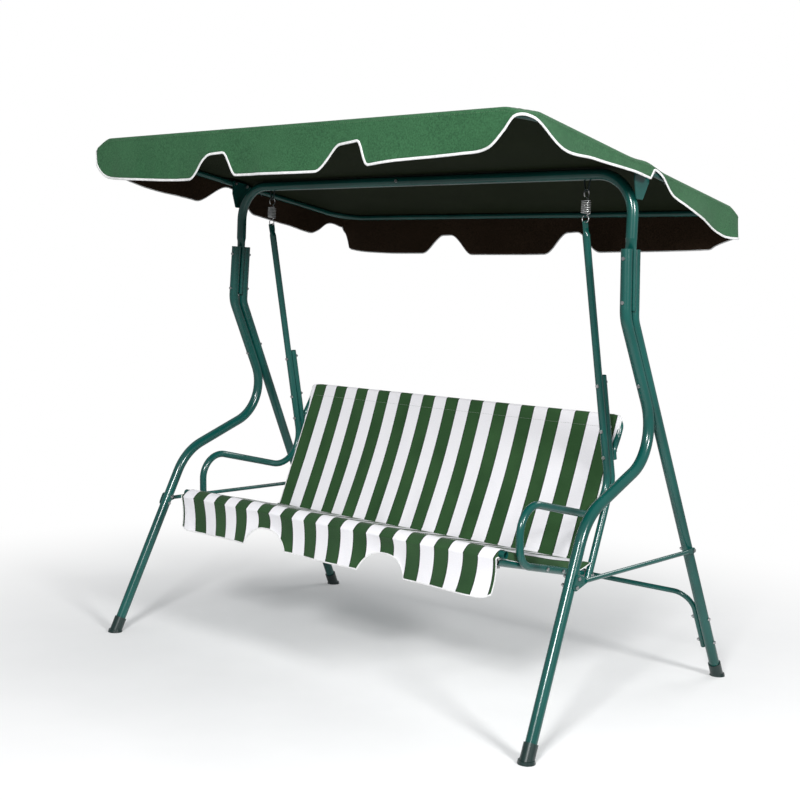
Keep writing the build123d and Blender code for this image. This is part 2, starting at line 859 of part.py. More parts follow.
with BuildPart() as seat_sling:
    with BuildSketch(Plane.YZ.offset(-sling_front_half)) as strip:
        with BuildLine() as middle:
            skirt_top = wrap_point(*front_c, (-1, 0))
            Line((skirt_top[0], skirt_top[1] - skirt_drop + wrap), skirt_top)
            ThreePointArc(
                skirt_top,
                wrap_point(*front_c, (-0.6378, 0.7702)),
                wrap_point(*front_c, up),
            )
            Line(wrap_point(*front_c, up), wrap_point(*rear_c, up))
            ThreePointArc(
                wrap_point(*rear_c, up),
                wrap_point(*rear_c, (0.978, -0.209)),
                wrap_point(*rear_c, (-up[0], -up[1])),
            )
            lower = Vector(*wrap_point(*rear_c, (-up[0], -up[1])))
            Line(
                wrap_point(*rear_c, (-up[0], -up[1])),
                (lower.X - slope_dir.Y * 26, lower.Y - slope_dir.Z * 26),
            )
        trace(line_width=sling_t)
    extrude(strip.sketch, amount=2 * sling_front_half)
    trim_y = beam_y + arm_foot_y - 22
    for side in sides.values():
        with BuildSketch(Plane.XY.offset(300)) as trim:
            with Locations((side * (sling_half + 100), trim_y + 250)):
                Rectangle(200, 500)
        extrude(trim.sketch, amount=300, mode=Mode.SUBTRACT)
        with BuildSketch(Plane.XY.offset(300)) as notch:
            with Locations((side * (wrap_half + 50), beam_y + rear_bar_y)):
                Rectangle(100, 80)
        extrude(notch.sketch, amount=rear_c[1] + 1 - 300, mode=Mode.SUBTRACT)
    skirt_plane = Plane(
        origin=(0, skirt_top[0] - 10, sling_front[1]),
        x_dir=(1, 0, 0),
        z_dir=(0, -1, 0),
    )
    with BuildSketch(skirt_plane) as scallops:
        for side in sides.values():
            with Locations((side * skirt_arch_x, -skirt_drop)):
                Ellipse(skirt_arch_half, skirt_drop - skirt_arch_drop)
    extrude(scallops.sketch, amount=-20, mode=Mode.SUBTRACT)
save(seat_sling, "seat_sling")

# ---- back sling -------------------------------------------------------------
back_wrap = back_d / 2 + 0.6 + sling_t / 2
back_dir = Vector(0, back_slope, 1).normalized()
back_out = Vector(0, -1, back_slope).normalized()

with BuildPart() as back_sling:
    with BuildSketch(Plane.YZ.offset(-sling_half + 27)) as strip:
        top_c = Vector(beam_y + back_top[0], back_top[1])
        out = Vector(back_out.Y, back_out.Z)
        along = Vector(back_dir.Y, back_dir.Z)
        front_edge = top_c + out * back_wrap
        run = (front_edge.Y - back_bottom_z) / along.Y
        with BuildLine() as middle:
            Line(front_edge - along * run, front_edge)
            ThreePointArc(
                front_edge,
                top_c + along * back_wrap,
                top_c - out * back_wrap,
            )
            Line(top_c - out * back_wrap, top_c - out * back_wrap - along * 34)
        trace(line_width=sling_t)
    extrude(strip.sketch, amount=2 * (sling_half - 27))
    lean_plane = Plane(
        origin=(0, front_edge.X, front_edge.Y),
        x_dir=(1, 0, 0),
        z_dir=(0, back_out.Y, back_out.Z),
    )
    with BuildSketch(lean_plane.offset(-sling_t / 2)) as flaps:
        for side in sides.values():
            with Locations((side * (sling_half - 14), -run / 2 - 10)):
                Rectangle(28, run - 20)
    extrude(flaps.sketch, amount=sling_t)
save(back_sling, "back_sling")

# ---- tie cords round the rail's rear ends -----------------------------------
with BuildPart() as ties:
    for side in sides.values():
        for step in (0, 5):
            centre = rail_point(side, rail_rear_y - 5 - step)
            out_point = centre + slope_up * (seat_d / 2 + 2.1)
            with BuildSketch(Plane(origin=out_point, z_dir=(1, 0, 0))) as wire:
                Circle(1.6)
            tie_axis = Axis(centre, slope_dir)
            revolve(wire.sketch, axis=tie_axis)
        low = rail_point(side, rail_rear_y - 10) + slope_up * (seat_d / 2 + 2.1)
        rod(low, low + slope_dir * 5, 2.6)
save(ties, "tie_cords")

# ---- fasteners of the stand -------------------------------------------------
stand_fasteners = []
for side in sides.values():
    for spot in clamp_points(side):
        stand_fasteners.append(("leg", spot, Vector(0, 1, 0), clamp_grip + 0.4))
    meet = leg_point(side, meet_y, meet_bolt_z)
    stand_fasteners.append(("leg", meet, lean, meet_grip + 0.4))
    for spot in brace_points(side):
        stand_fasteners.append(("brace", spot, Vector(-side, 0, 0), brace_grip + 1.4))
    for spot in crossbar_points(side):
        grip = crossbar_grip + 0.6
        stand_fasteners.append(("crossbar", spot, Vector(-side, 0, 0), grip))
    for bolt_y in bracket_bolts_y:
        spot = Vector(
            side * (canopy_bar_x - (bracket_t + 0.3) / 2 - 0.2),
            beam_y + bolt_y,
            canopy_z(bolt_y),
        )
        grip = canopy_d + bracket_t + 1.4
        stand_fasteners.append(("bracket", spot, Vector(-side, 0, 0), grip))
splice = Vector(splice_bolt_x, beam_y, beam_z)
stand_fasteners.append(("splice", splice, Vector(0, 1, 0), leg_d + 0.4))

for label, kinds in (
    ("leg_clamp_bolts", ("leg",)),
    ("brace_bolts", ("brace",)),
    ("crossbar_bolts", ("crossbar",)),
    ("beam_splice_bolt", ("splice",)),
):
    with BuildPart() as bolts:
        for kind, spot, axis, grip in stand_fasteners:
            if kind in kinds:
                hex_bolt(spot, axis, grip)
    save(bolts, label)

with BuildPart() as bracket_bolts:
    for kind, spot, axis, grip in stand_fasteners:
        if kind == "bracket":
            head = spot - axis * (grip / 2)
            rod(head - axis * 2.4, head, 12)
            rod(head, head + axis * (grip + 7), m6)
save(bracket_bolts, "canopy_bracket_bolts")

with BuildPart() as stand_nuts:
    for kind, spot, axis, grip in stand_fasteners:
        hex_nut(spot, axis, grip)
save(stand_nuts, "stand_nuts")

# ---- fasteners of the seat --------------------------------------------------
seat_fasteners = []
for side in sides.values():
    pair_x = (rail_x + side_x(sling_z(-100) - rail_drop)) / 2
    for bolt_y in side_bolt_y:
        spot = rail_point(side, bolt_y)
        spot = Vector(side * pair_x, spot.Y, spot.Z)
        seat_fasteners.append((spot, Vector(-side, 0, 0), 2 * seat_d + 2.0))
    spot = foot_bolt(side)
    spot = Vector(side * pair_x, spot.Y, spot.Z)
    seat_fasteners.append((spot, Vector(-side, 0, 0), 2 * seat_d + 3.0))
    for spot in upright_bolts(side):
        seat_fasteners.append((spot, hanger_cross, 2 * seat_d + 1.2))
    stack = (upright_offset + back_offset) / hanger_stretch
    grip = stack + (seat_d + back_d) / 2 + 0.8
    seat_fasteners.append((back_bolt(side), hanger_cross, grip))

with BuildPart() as seat_bolts:
    for spot, axis, grip in seat_fasteners:
        hex_bolt(spot, axis, grip)
save(seat_bolts, "seat_bolts")

with BuildPart() as seat_nuts:
    for spot, axis, grip in seat_fasteners:
        hex_nut(spot, axis, grip)
save(seat_nuts, "seat_nuts")

with BuildPart() as bar_screws:
    for side in sides.values():
        for bolt_y in (sling_front[0], rear_bar_y):
            centre = rail_point(side, bolt_y)
            head_top = centre - Vector(0, 0, bar_screw_head_drop)
            tip = centre + Vector(0, 0, rail_drop - bar_drop + 8.5)
            rod(head_top, tip, m6)
            rod(head_top - Vector(0, 0, 3.2), head_top, 12)
save(bar_screws, "bar_screws")
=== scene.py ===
import json
import math

import bpy
from mathutils import Matrix, Vector, noise


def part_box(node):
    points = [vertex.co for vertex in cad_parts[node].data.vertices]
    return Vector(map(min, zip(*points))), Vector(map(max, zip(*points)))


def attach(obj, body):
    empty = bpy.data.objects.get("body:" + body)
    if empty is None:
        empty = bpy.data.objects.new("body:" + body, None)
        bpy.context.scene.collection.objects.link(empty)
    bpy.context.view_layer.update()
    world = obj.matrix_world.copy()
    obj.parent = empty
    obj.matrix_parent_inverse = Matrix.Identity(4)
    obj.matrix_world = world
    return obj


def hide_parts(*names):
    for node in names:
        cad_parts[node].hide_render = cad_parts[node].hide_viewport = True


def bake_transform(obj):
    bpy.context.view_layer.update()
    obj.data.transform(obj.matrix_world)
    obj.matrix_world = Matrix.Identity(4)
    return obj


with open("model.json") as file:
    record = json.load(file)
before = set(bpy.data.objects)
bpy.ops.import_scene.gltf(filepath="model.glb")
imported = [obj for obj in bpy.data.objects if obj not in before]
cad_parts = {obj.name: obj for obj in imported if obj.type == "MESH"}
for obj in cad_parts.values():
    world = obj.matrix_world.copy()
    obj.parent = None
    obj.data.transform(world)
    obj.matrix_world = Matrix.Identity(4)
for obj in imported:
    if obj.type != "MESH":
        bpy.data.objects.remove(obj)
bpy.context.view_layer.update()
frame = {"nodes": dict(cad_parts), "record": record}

# All lengths are in metres, in the CAD frame: +X along the bench, -Y its front, +Z up.
BEAM_Y = -0.0115
CANOPY_TAN = 0.1317
SIDES = {"left": -1, "right": 1}


# ---- camera ----
CAM_AT = Vector((2.51886, -3.07634, 1.15661))
CAM_YAW = 0.692283
CAM_PITCH = 0.082216
CAM_ROLL = 0.039382
CAM_LENS = 56.474           # mm
CAM_SENSOR = 36.0           # mm


def make_camera():
    """The view of the bench from its front right, a little rolled."""
    back = Vector((
        math.sin(CAM_YAW) * math.cos(CAM_PITCH),
        -math.cos(CAM_YAW) * math.cos(CAM_PITCH),
        math.sin(CAM_PITCH),
    ))
    right = (-back).cross(Vector((0, 0, 1))).normalized()
    up = right.cross(-back)
    c, s = math.cos(CAM_ROLL), math.sin(CAM_ROLL)
    axis_x = right * c + up * s
    axis_y = up * c - right * s
    data = bpy.data.cameras.new("camera")
    data.lens = CAM_LENS
    data.sensor_width = CAM_SENSOR
    cam = bpy.data.objects.new("camera", data)
    bpy.context.scene.collection.objects.link(cam)
    turn = Matrix((axis_x, axis_y, back)).transposed().to_4x4()
    cam.matrix_world = Matrix.Translation(CAM_AT) @ turn
    bpy.context.scene.camera = cam


make_camera()


# ---- material helpers ----
class Nodes:
    """A thin wrapper that adds and links shader nodes of one material."""

    def __init__(self, name):
        self.mat = bpy.data.materials.new(name)
        self.mat.use_nodes = True
        self.tree = self.mat.node_tree
        self.bsdf = self.tree.nodes["Principled BSDF"]

    def add(self, kind, **settings):
        node = self.tree.nodes.new(kind)
        for key, value in settings.items():
            setattr(node, key, value)
        return node

    def link(self, source, target):
        self.tree.links.new(source, target)

    def feed(self, socket, value):
        """Sets a socket to a number or a colour, or links another socket to it."""
        if isinstance(value, (int, float)):
            socket.default_value = value
        elif isinstance(value, tuple):
            socket.default_value = (*value, 1)
        else:
            self.link(value, socket)

    def coords(self, kind="Object", scale=(1, 1, 1)):
        """Scaled texture coordinates: the object's own, or the cloth's flat ones with UV."""
        texture = self.add("ShaderNodeTexCoord")
        mapping = self.add("ShaderNodeMapping")
        mapping.inputs["Scale"].default_value = scale
        self.link(texture.outputs[kind], mapping.inputs["Vector"])
        return mapping.outputs["Vector"]

    def noise(self, vector, scale, detail=3.0, rough=0.5):
        node = self.add("ShaderNodeTexNoise")
        node.inputs["Scale"].default_value = scale
        node.inputs["Detail"].default_value = detail
        node.inputs["Roughness"].default_value = rough
        self.link(vector, node.inputs["Vector"])
        return node.outputs["Fac"]

    def ramp(self, fac, stops):
        """Colour ramp through stops of (place, linear colour)."""
        node = self.add("ShaderNodeValToRGB")
        ramp = node.color_ramp
        while len(ramp.elements) < len(stops):
            ramp.elements.new(0.5)
        for element, (place, colour) in zip(ramp.elements, stops):
            element.position = place
            element.color = (*colour, 1)
        self.link(fac, node.inputs["Fac"])
        return node.outputs["Color"]

    def math(self, kind, a, b=None, c=None):
        """One sum of numbers or sockets."""
        node = self.add("ShaderNodeMath", operation=kind)
        for socket, value in zip(node.inputs, (a, b, c)):
            if value is not None:
                self.feed(socket, value)
        return node.outputs[0]

    def mix(self, fac, a, b):
        """Colour a where fac is 0 and colour b where it is 1."""
        node = self.add("ShaderNodeMix", data_type="RGBA")
        for index, value in ((0, fac), (6, a), (7, b)):      # 6 and 7 are the two colour sockets
            self.feed(node.inputs[index], value)
        return node.outputs[2]

    def bump(self, height, strength, distance, normal=None):
        node = self.add("ShaderNodeBump")
        node.inputs["Strength"].default_value = strength
        node.inputs["Distance"].default_value = distance
        self.link(height, node.inputs["Height"])
        if normal is not None:
            self.link(normal, node.inputs["Normal"])
        return node.outputs["Normal"]

    def finish(self, colour, rough, normal=None, **constants):
        """Connects the surface; constants are named by their shader sockets."""
        self.feed(self.bsdf.inputs["Base Color"], colour)
        self.feed(self.bsdf.inputs["Roughness"], rough)
        if normal is not None:
            self.link(normal, self.bsdf.inputs["Normal"])
        for key, value in constants.items():
            self.bsdf.inputs[key.replace("_", " ")].default_value = value
        return self.mat


# ---- materials ----
def paint_material():
    """Glossy teal powder coat: faint orange peel, dust and rubbed patches."""
    n = Nodes("teal_powder_coat")
    at = n.coords()
    broad = n.noise(at, 5.0, 2.0)
    fine = n.noise(at, 60.0, 4.0)
    tint = n.ramp(broad, [(0.3, (0.0026, 0.058, 0.049)), (0.7, (0.005, 0.085, 0.072))])
    tint = n.mix(n.ramp(fine, [(0.6, (0, 0, 0)), (0.85, (0.1, 0.1, 0.1))]), tint, (0.012, 0.15, 0.125))
    rough = n.math("MULTIPLY_ADD", fine, 0.06, 0.2)
    peel = n.noise(at, 260.0, 1.0)
    normal = n.bump(peel, 0.035, 0.0004)
    return n.finish(tint, rough, normal, Coat_Weight=0.3, Coat_Roughness=0.1, Specular_IOR_Level=0.45)


def hard_material(name, grain, spots, stops, rough, bump, **looks):
    """Moulded or plated surface: fine grain in its bump and shine, broader spots in its colour."""
    n = Nodes(name)
    at = n.coords()
    fine = n.noise(at, *grain)
    tint = n.ramp(n.noise(at, *spots), stops)
    shine = n.math("MULTIPLY_ADD", fine, *rough)
    return n.finish(tint, shine, n.bump(fine, *bump), **looks)


def hook_shade_material():
    """The hooks: steel painted dark as shade under the beam, in place of their zinc, with worn bright
    rubs.
    """
    n = Nodes("hook_steel_painted_shade")
    grain = n.noise(n.coords(), 250.0, 5.0)
    tint = n.ramp(grain, [(0.4, (0.012, 0.02, 0.02)), (0.75, (0.05, 0.07, 0.07))])
    return n.finish(tint, 0.38, n.bump(grain, 0.2, 0.0003), Metallic=0.6)


def weave(n, uv, per_metre, strength, distance):
    """Normal of a plain weave, from two crossed waves in the cloth's own coordinates."""
    split = n.add("ShaderNodeSeparateXYZ")
    n.link(uv, split.inputs[0])
    across = n.math("SINE", n.math("MULTIPLY", split.outputs[0], per_metre))
    along = n.math("SINE", n.math("MULTIPLY", split.outputs[1], per_metre))
    return n.bump(n.math("MULTIPLY", across, along), strength, distance)


def cloth_material(name, low, high, rough, sheen, shine):
    """Woven polyester: weave bump, mottled thread colour, soft sheen."""
    n = Nodes(name)
    normal = weave(n, n.coords("UV"), 2600.0, 0.35, 0.0006)
    slub = n.noise(n.coords("UV", SLUB_SCALE), 1.0, 4.0, 0.7)
    broad = n.noise(n.coords(), 6.0, 3.0)
    mottle = n.noise(n.coords(), 230.0, 2.0, 0.6)
    spots = n.math("MULTIPLY_ADD", broad, 0.2, n.math("MULTIPLY", mottle, 0.6))
    mixed = n.math("MULTIPLY_ADD", slub, 0.2, spots)
    tint = n.ramp(mixed, [(0.38, low), (0.62, high)])
    normal = n.bump(slub, 0.3, 0.0008, normal)
    return n.finish(tint, rough, normal,
                    Sheen_Weight=sheen, Sheen_Roughness=0.5, Specular_IOR_Level=shine)


def stripe_material(name, phase, green_low, green_high):
    """White cloth with green bars of half the pitch, each edged by a dark thread line."""
    n = Nodes(name)
    at = n.coords("UV")
    split = n.add("ShaderNodeSeparateXYZ")
    n.link(at, split.inputs[0])
    shifted = n.math("ADD", split.outputs[0], phase + 2 * STRIPE_PITCH * 20)      # always above 0
    in_pitch = n.math("MODULO", shifted, STRIPE_PITCH)
    off = n.math("ABSOLUTE", n.math("SUBTRACT", in_pitch, STRIPE_PITCH / 2))
    slub = n.noise(n.coords("UV", SLUB_SCALE), 1.0, 4.0, 0.7)
    broad = n.noise(n.coords(), 9.0, 3.0)
    shade = n.math("ADD", n.math("MULTIPLY", slub, 0.6), n.math("MULTIPLY", broad, 0.4))
    green = n.ramp(shade, [(0.33, green_low), (0.67, green_high)])
    white = n.ramp(slub, [(0.3, (0.80, 0.79, 0.82)), (0.7, (0.92, 0.91, 0.94))])
    is_green = n.math("LESS_THAN", off, STRIPE_PITCH / 4)
    tint = n.mix(is_green, white, green)
    edge = n.math("ABSOLUTE", n.math("SUBTRACT", off, STRIPE_PITCH / 4 - STRIPE_EDGE_IN))
    is_edge = n.math("LESS_THAN", edge, STRIPE_EDGE_HALF)
    tint = n.mix(is_edge, tint, (0.008, 0.02, 0.009))
    normal = weave(n, at, 2200.0, 0.4, 0.0007)
    normal = n.bump(slub, 0.25, 0.0008, normal)
    return n.finish(tint, 0.85, normal,
                    Sheen_Weight=0.06, Sheen_Roughness=0.5, Specular_IOR_Level=0.2)


def tape_material(name, low, high):
    """Binding tape, thread or cord: mottled, with fine ribs across its run."""
    n = Nodes(name)
    at = n.coords("UV")
    split = n.add("ShaderNodeSeparateXYZ")
    n.link(at, split.inputs[0])
    ribs = n.math("SINE", n.math("MULTIPLY", split.outputs[0], 5200.0))
    mottled = n.noise(n.coords(), 120.0, 3.0)
    tint = n.ramp(mottled, [(0.35, low), (0.7, high)])
    normal = n.bump(ribs, 0.3, 0.0005)
    return n.finish(tint, 0.7, normal, Sheen_Weight=0.15)


STRIPE_PITCH = 0.100
STRIPE_EDGE_IN = 0.0009      # the dark thread line's middle, inside the green bar
STRIPE_EDGE_HALF = 0.0013
SLUB_SCALE = (900, 260, 1)   # thick places in the yarn, longer along the cloth than across it

PAINT = paint_material()
BOOT = hard_material(
    "dark_moulded_boot", (300.0, 4.0), (25.0, 3.0),
    [(0.3, (0.003, 0.014, 0.0125)), (0.75, (0.006, 0.026, 0.023))],
    (0.2, 0.24), (0.12, 0.0004), Coat_Weight=0.25, Coat_Roughness=0.15)
ZINC = hard_material(
    "zinc_plate", (220.0, 5.0), (60.0, 3.0),
    [(0.35, (0.42, 0.43, 0.45)), (0.7, (0.72, 0.72, 0.7))],
    (0.3, 0.18), (0.15, 0.0003), Metallic=1.0)
HOOK_SHADED = hook_shade_material()
CANOPY_OUT = cloth_material(
    "canopy_green_weave", (0.017, 0.076, 0.030), (0.039, 0.140, 0.058), 0.8, 0.08, 0.2)
# The canopy's underside and the valance's inner side: their coating's olive and brown tones, darkened
# further as painted shade under the canopy.
CANOPY_IN_SHADED = cloth_material(
    "canopy_underside_coating_painted_shade", (0.007, 0.0105, 0.004), (0.016, 0.0225, 0.009), 0.85, 0.0, 0.08)
VALANCE_IN_SHADED = cloth_material(
    "valance_inner_coating_painted_shade", (0.015, 0.009, 0.005), (0.042, 0.025, 0.0145), 0.85, 0.0, 0.08)
BACK_STRIPES = stripe_material(
    "back_striped_cloth", STRIPE_PITCH / 2, (0.014, 0.052, 0.015), (0.034, 0.098, 0.031))
SEAT_STRIPES = stripe_material(
    "seat_striped_cloth", 0.0, (0.014, 0.048, 0.016), (0.033, 0.092, 0.031))
PIPING = tape_material("white_binding_tape", (0.7, 0.7, 0.7), (0.84, 0.84, 0.84))
THREAD = tape_material("stitching_thread", (0.045, 0.13, 0.06), (0.09, 0.21, 0.1))
THREAD_WHITE = tape_material("sling_thread", (0.2, 0.24, 0.2), (0.34, 0.38, 0.34))
CORD = tape_material("white_tie_cord", (0.7, 0.7, 0.68), (0.88, 0.88, 0.86))

SLOT_LOOKS = {
    "green_paint": PAINT,
    "boot_plastic": BOOT,
    "zinc": ZINC,
    "spring_steel": ZINC,
    "white_cord": CORD,
}


def dress_nodes():
    """Gives each CAD node the material of its slot; only the hooks differ from theirs, with steel painted
    dark as shade under the beam.
    """
    slots = {row["node"]: row["material_slot"] for row in frame["record"]["subparts"]}
    for name, node in frame["nodes"].items():
        # the hooks take steel painted dark as shade instead of their slot's zinc
        look = HOOK_SHADED if name == "hook_eyes" else SLOT_LOOKS.get(slots.get(name), PAINT)
        node.data.materials.clear()
        node.data.materials.append(look)


dress_nodes()


# ---- mesh helpers ----
def smoothstep(low, high, value):
    """Smooth rise from 0 at low to 1 at high."""
    t = min(1.0, max(0.0, (value - low) / (high - low)))
    return t * t * (3 - 2 * t)


def wobble(seed, *at):
    """Smooth noise from -1 to 1 at a place, the same on every run."""
    spot = Vector((at[0], at[1] if len(at) > 1 else 0.0, seed * 7.31))
    return noise.noise(spot)


def new_mesh(name, verts, faces, uvs=None, materials=(), face_materials=None):
    """A smooth-shaded object; uvs hold the flat place of each vertex in metres."""
    mesh = bpy.data.meshes.new(name)
    mesh.from_pydata([tuple(v) for v in verts], [], faces)
    if uvs is not None:
        layer = mesh.uv_layers.new(name="flat")
        for loop in mesh.loops:
            layer.data[loop.index].uv = uvs[loop.vertex_index]
    for material in materials:
        mesh.materials.append(material)
    if face_materials is not None:
        mesh.polygons.foreach_set("material_index", face_materials)
    mesh.polygons.foreach_set("use_smooth", [True] * len(mesh.polygons))
    mesh.update()
    obj = bpy.data.objects.new(name, mesh)
    bpy.context.scene.collection.objects.link(obj)
    return obj


def thicken(obj, thickness, inner_material=0, offset=0.0):
    """Gives a sheet its thickness; offset is -1 for all of it behind the drawn face, 0 for half."""
    mod = obj.modifiers.new("thickness", "SOLIDIFY")
    mod.thickness = thickness
    mod.offset = offset
    mod.use_even_offset = True
    mod.material_offset = inner_material
    graph = bpy.context.evaluated_depsgraph_get()
    done = bpy.data.meshes.new_from_object(obj.evaluated_get(graph))
    obj.modifiers.clear()
    obj.data = done


def strip_tube(name, path, normals, width, depth, material, closed=False, sides=10, start=0.0):
    """A soft flattened tube along a path: width along the cloth, depth out of it."""
    verts, uvs = [], []
    count = len(path)
    travelled = start
    for index in range(count):
        ahead = path[(index + 1) % count] if closed else path[min(count - 1, index + 1)]
        behind = path[index - 1] if closed or index else path[0]
        run = (ahead - behind).normalized()
        out = (normals[index] - run * normals[index].dot(run)).normalized()
        side = run.cross(out).normalized()
        if index:
            travelled += (path[index] - path[index - 1]).length
        for step in range(sides):
            angle = 2 * math.pi * step / sides
            reach = side * (math.cos(angle) * width / 2) + out * (math.sin(angle) * depth / 2)
            verts.append(path[index] + reach)
            uvs.append((travelled, step / sides * width * 2))
    return new_mesh(name, verts, tube_faces(0, count, sides, closed), uvs, [material])


def lengths_along(path):
    """Distance of each point of a path from its first."""
    marks = [0.0]
    for a, b in zip(path, path[1:]):
        marks.append(marks[-1] + (b - a).length)
    return marks


def edge_normals(path):
    """Directions square to a cloth's side edge, pointing out of its upper face."""
    normals = []
    for index in range(len(path)):
        ahead = path[min(len(path) - 1, index + 1)]
        behind = path[max(0, index - 1)]
        run = (ahead - behind).normalized()
        normals.append(run.cross(Vector((1, 0, 0))).normalized() * -1)
    return normals


def grid_faces(rows, width):
    """Faces between the rows of a grid of points, width points to a row."""
    faces = []
    for row in range(rows - 1):
        for column in range(width - 1):
            a = row * width + column
            faces.append((a, a + 1, a + width + 1, a + width))
    return faces


def tube_faces(first, rows, sides, closed=False):
    """Faces round a tube of rings, from its first vertex on, with flat ends unless it is closed."""
    faces = []
    for row in range(rows if closed else rows - 1):
        low, high = first + row * sides, first + (row + 1) % rows * sides
        for step in range(sides):
            nxt = (step + 1) % sides
            faces.append((low + step, low + nxt, high + nxt, high + step))
    if not closed:
        faces.append(tuple(first + step for step in range(sides))[::-1])
        faces.append(tuple(first + (rows - 1) * sides + step for step in range(sides)))
    return faces


def stitch_row(name, path, normals, material, length=0.004, gap=0.0025, thick=0.0009):
    """Single raised stitches laid end to end along a path, in one mesh."""
    marks = lengths_along(path)
    total = marks[-1]
    ring = 6
    verts, faces, uvs = [], [], []
    start = gap
    while start + length < total:
        base = len(verts)
        for share, swell in ((0.0, 0.35), (0.2, 1.0), (0.8, 1.0), (1.0, 0.35)):
            spot, out = along_path(path, normals, marks, start + length * share)
            ahead, _ = along_path(path, normals, marks, min(total, start + length * share + 0.0005))
            run = (ahead - spot).normalized()
            side = run.cross(out).normalized()
            lift = out * (thick * 0.25 * math.sin(math.pi * share))
            for step in range(ring):
                angle = 2 * math.pi * step / ring
                reach = (side * math.cos(angle) + out * math.sin(angle)) * (thick / 2 * swell)
                verts.append(spot + lift + reach)
                uvs.append((start + length * share, step / ring * thick))
        faces += tube_faces(base, 4, ring)
        start += length + gap
    return new_mesh(name, verts, faces, uvs, [material])


def along_path(path, normals, marks, distance):
    """Point and normal at a distance along a path, by bisection."""
    low, high = 0, len(marks) - 1
    while high - low > 1:
        middle = (low + high) // 2
        if marks[middle] <= distance:
            low = middle
        else:
            high = middle
    share = (distance - marks[low]) / max(1e-9, marks[low + 1] - marks[low])
    return path[low].lerp(path[low + 1], share), normals[low].lerp(normals[low + 1], share).normalized()


def place(obj, body, slot):
    """Puts a piece on its body; the slot is not used."""
    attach(obj, body)
    return obj


# ---- canopy cover: one continuous sheet ----
# Places in this section are measured from the beam's plane; only vertices add BEAM_Y.
ROOF_X = 0.8225
ROOF_FRONT = -0.600
ROOF_REAR = 0.582
ROOF_WIDE = 2 * ROOF_X
ROOF_DEEP = ROOF_REAR - ROOF_FRONT
ROOF_AT_BEAM = 1.5373        # cloth's underside over the beam's plane
CLOTH_T = 0.0012
EDGE_R = 0.011               # how round the cloth turns over the frame's tubes
RIM_CORNER = 0.018           # how round the cover's corners are, seen from above
FRONT_BAY = 0.588            # beam to the frame's front tube
REAR_BAY = 0.570
SLACK = 0.013                # sag in the middle of a bay
CORNER_X = 0.6825            # centres of the frame's round corners
CORNER_FRONT = -0.462
CORNER_REAR = 0.444
CORNER_R = 0.147
DROOP_RUN = 0.038            # the drooping stretch past a round corner
CORNER_DROOPS = {(-1, -1): 0.029, (1, -1): 0.019, (1, 1): 0.019, (-1, 1): 0.021}
TENT = 0.008                 # lift of the cloth over the brackets
SIDE_STEPS = 150
FRONT_STEPS = 210
ROOF_RINGS = 26
RING_CLOSING = 1.6           # above 1, the rings lie closer together towards the rim
TURN_STEPS = 5
VALANCE_RINGS = 16


def roof_z(x, y):
    """Height of the roof cloth: tight over the tubes, slack between, drooping past round corners."""
    plane = ROOF_AT_BEAM + CLOTH_T - CANOPY_TAN * y
    bay = math.sin(math.pi * min(1.0, abs(y) / (FRONT_BAY if y < 0 else REAR_BAY)))
    slack = SLACK * bay * max(0.0, 1 - (abs(x) / 0.81) ** 4)
    slack *= 1 + 0.35 * wobble(3, x * 2.2, y * 2.2)
    pucker = 0.0012 * wobble(5, x * 9, y * 9) * max(0.0, 1 - (abs(x) / 0.8) ** 6) * bay
    corner_x = max(0.0, abs(x) - CORNER_X)
    corner_y = max(0.0, (y - CORNER_REAR) if y > 0 else (CORNER_FRONT - y))
    past = max(0.0, math.hypot(corner_x, corner_y) - CORNER_R)
    corner = (1 if x > 0 else -1, 1 if y > 0 else -1)
    droop = CORNER_DROOPS[corner] * min(1.0, past / DROOP_RUN) ** 1.2
    tent = TENT * math.exp(-(y / 0.055) ** 2) * smoothstep(0.74, 0.81, abs(x))
    return plane - slack + pucker - droop + tent


def rim_stations():
    """Places round the four sides, each as a distance along the rim from the front left corner."""
    stations, low = [], 0.0
    for length, steps in ((ROOF_WIDE, FRONT_STEPS), (ROOF_DEEP, SIDE_STEPS)) * 2:
        stations += [low + length * step / steps for step in range(steps)]
        low += length
    return stations


def rim(run):
    """Point on the roof's edge and its outward direction, at a distance round the four sides."""
    if run < ROOF_WIDE:
        x, y, out = -ROOF_X + run, ROOF_FRONT, Vector((0, -1, 0))
    elif run < ROOF_WIDE + ROOF_DEEP:
        x, y, out = ROOF_X, ROOF_FRONT + run - ROOF_WIDE, Vector((1, 0, 0))
    elif run < 2 * ROOF_WIDE + ROOF_DEEP:
        x, y, out = ROOF_X - (run - ROOF_WIDE - ROOF_DEEP), ROOF_REAR, Vector((0, 1, 0))
    else:
        x, y, out = -ROOF_X, ROOF_REAR - (run - 2 * ROOF_WIDE - ROOF_DEEP), Vector((-1, 0, 0))
    to_x, to_y = ROOF_X - abs(x), min(y - ROOF_FRONT, ROOF_REAR - y)
    if to_x < RIM_CORNER and to_y < RIM_CORNER:
        sx, sy = math.copysign(1, x), (1 if y > 0 else -1)
        angle = math.pi / 4 * (1 + (to_x - to_y) / RIM_CORNER)
        out = Vector((sx * math.cos(angle), sy * math.sin(angle), 0))
        x = sx * (ROOF_X - RIM_CORNER + RIM_CORNER * math.cos(angle))
        middle_y = ROOF_REAR - RIM_CORNER if y > 0 else ROOF_FRONT + RIM_CORNER
        y = middle_y + sy * RIM_CORNER * math.sin(angle)
    return x, y, out


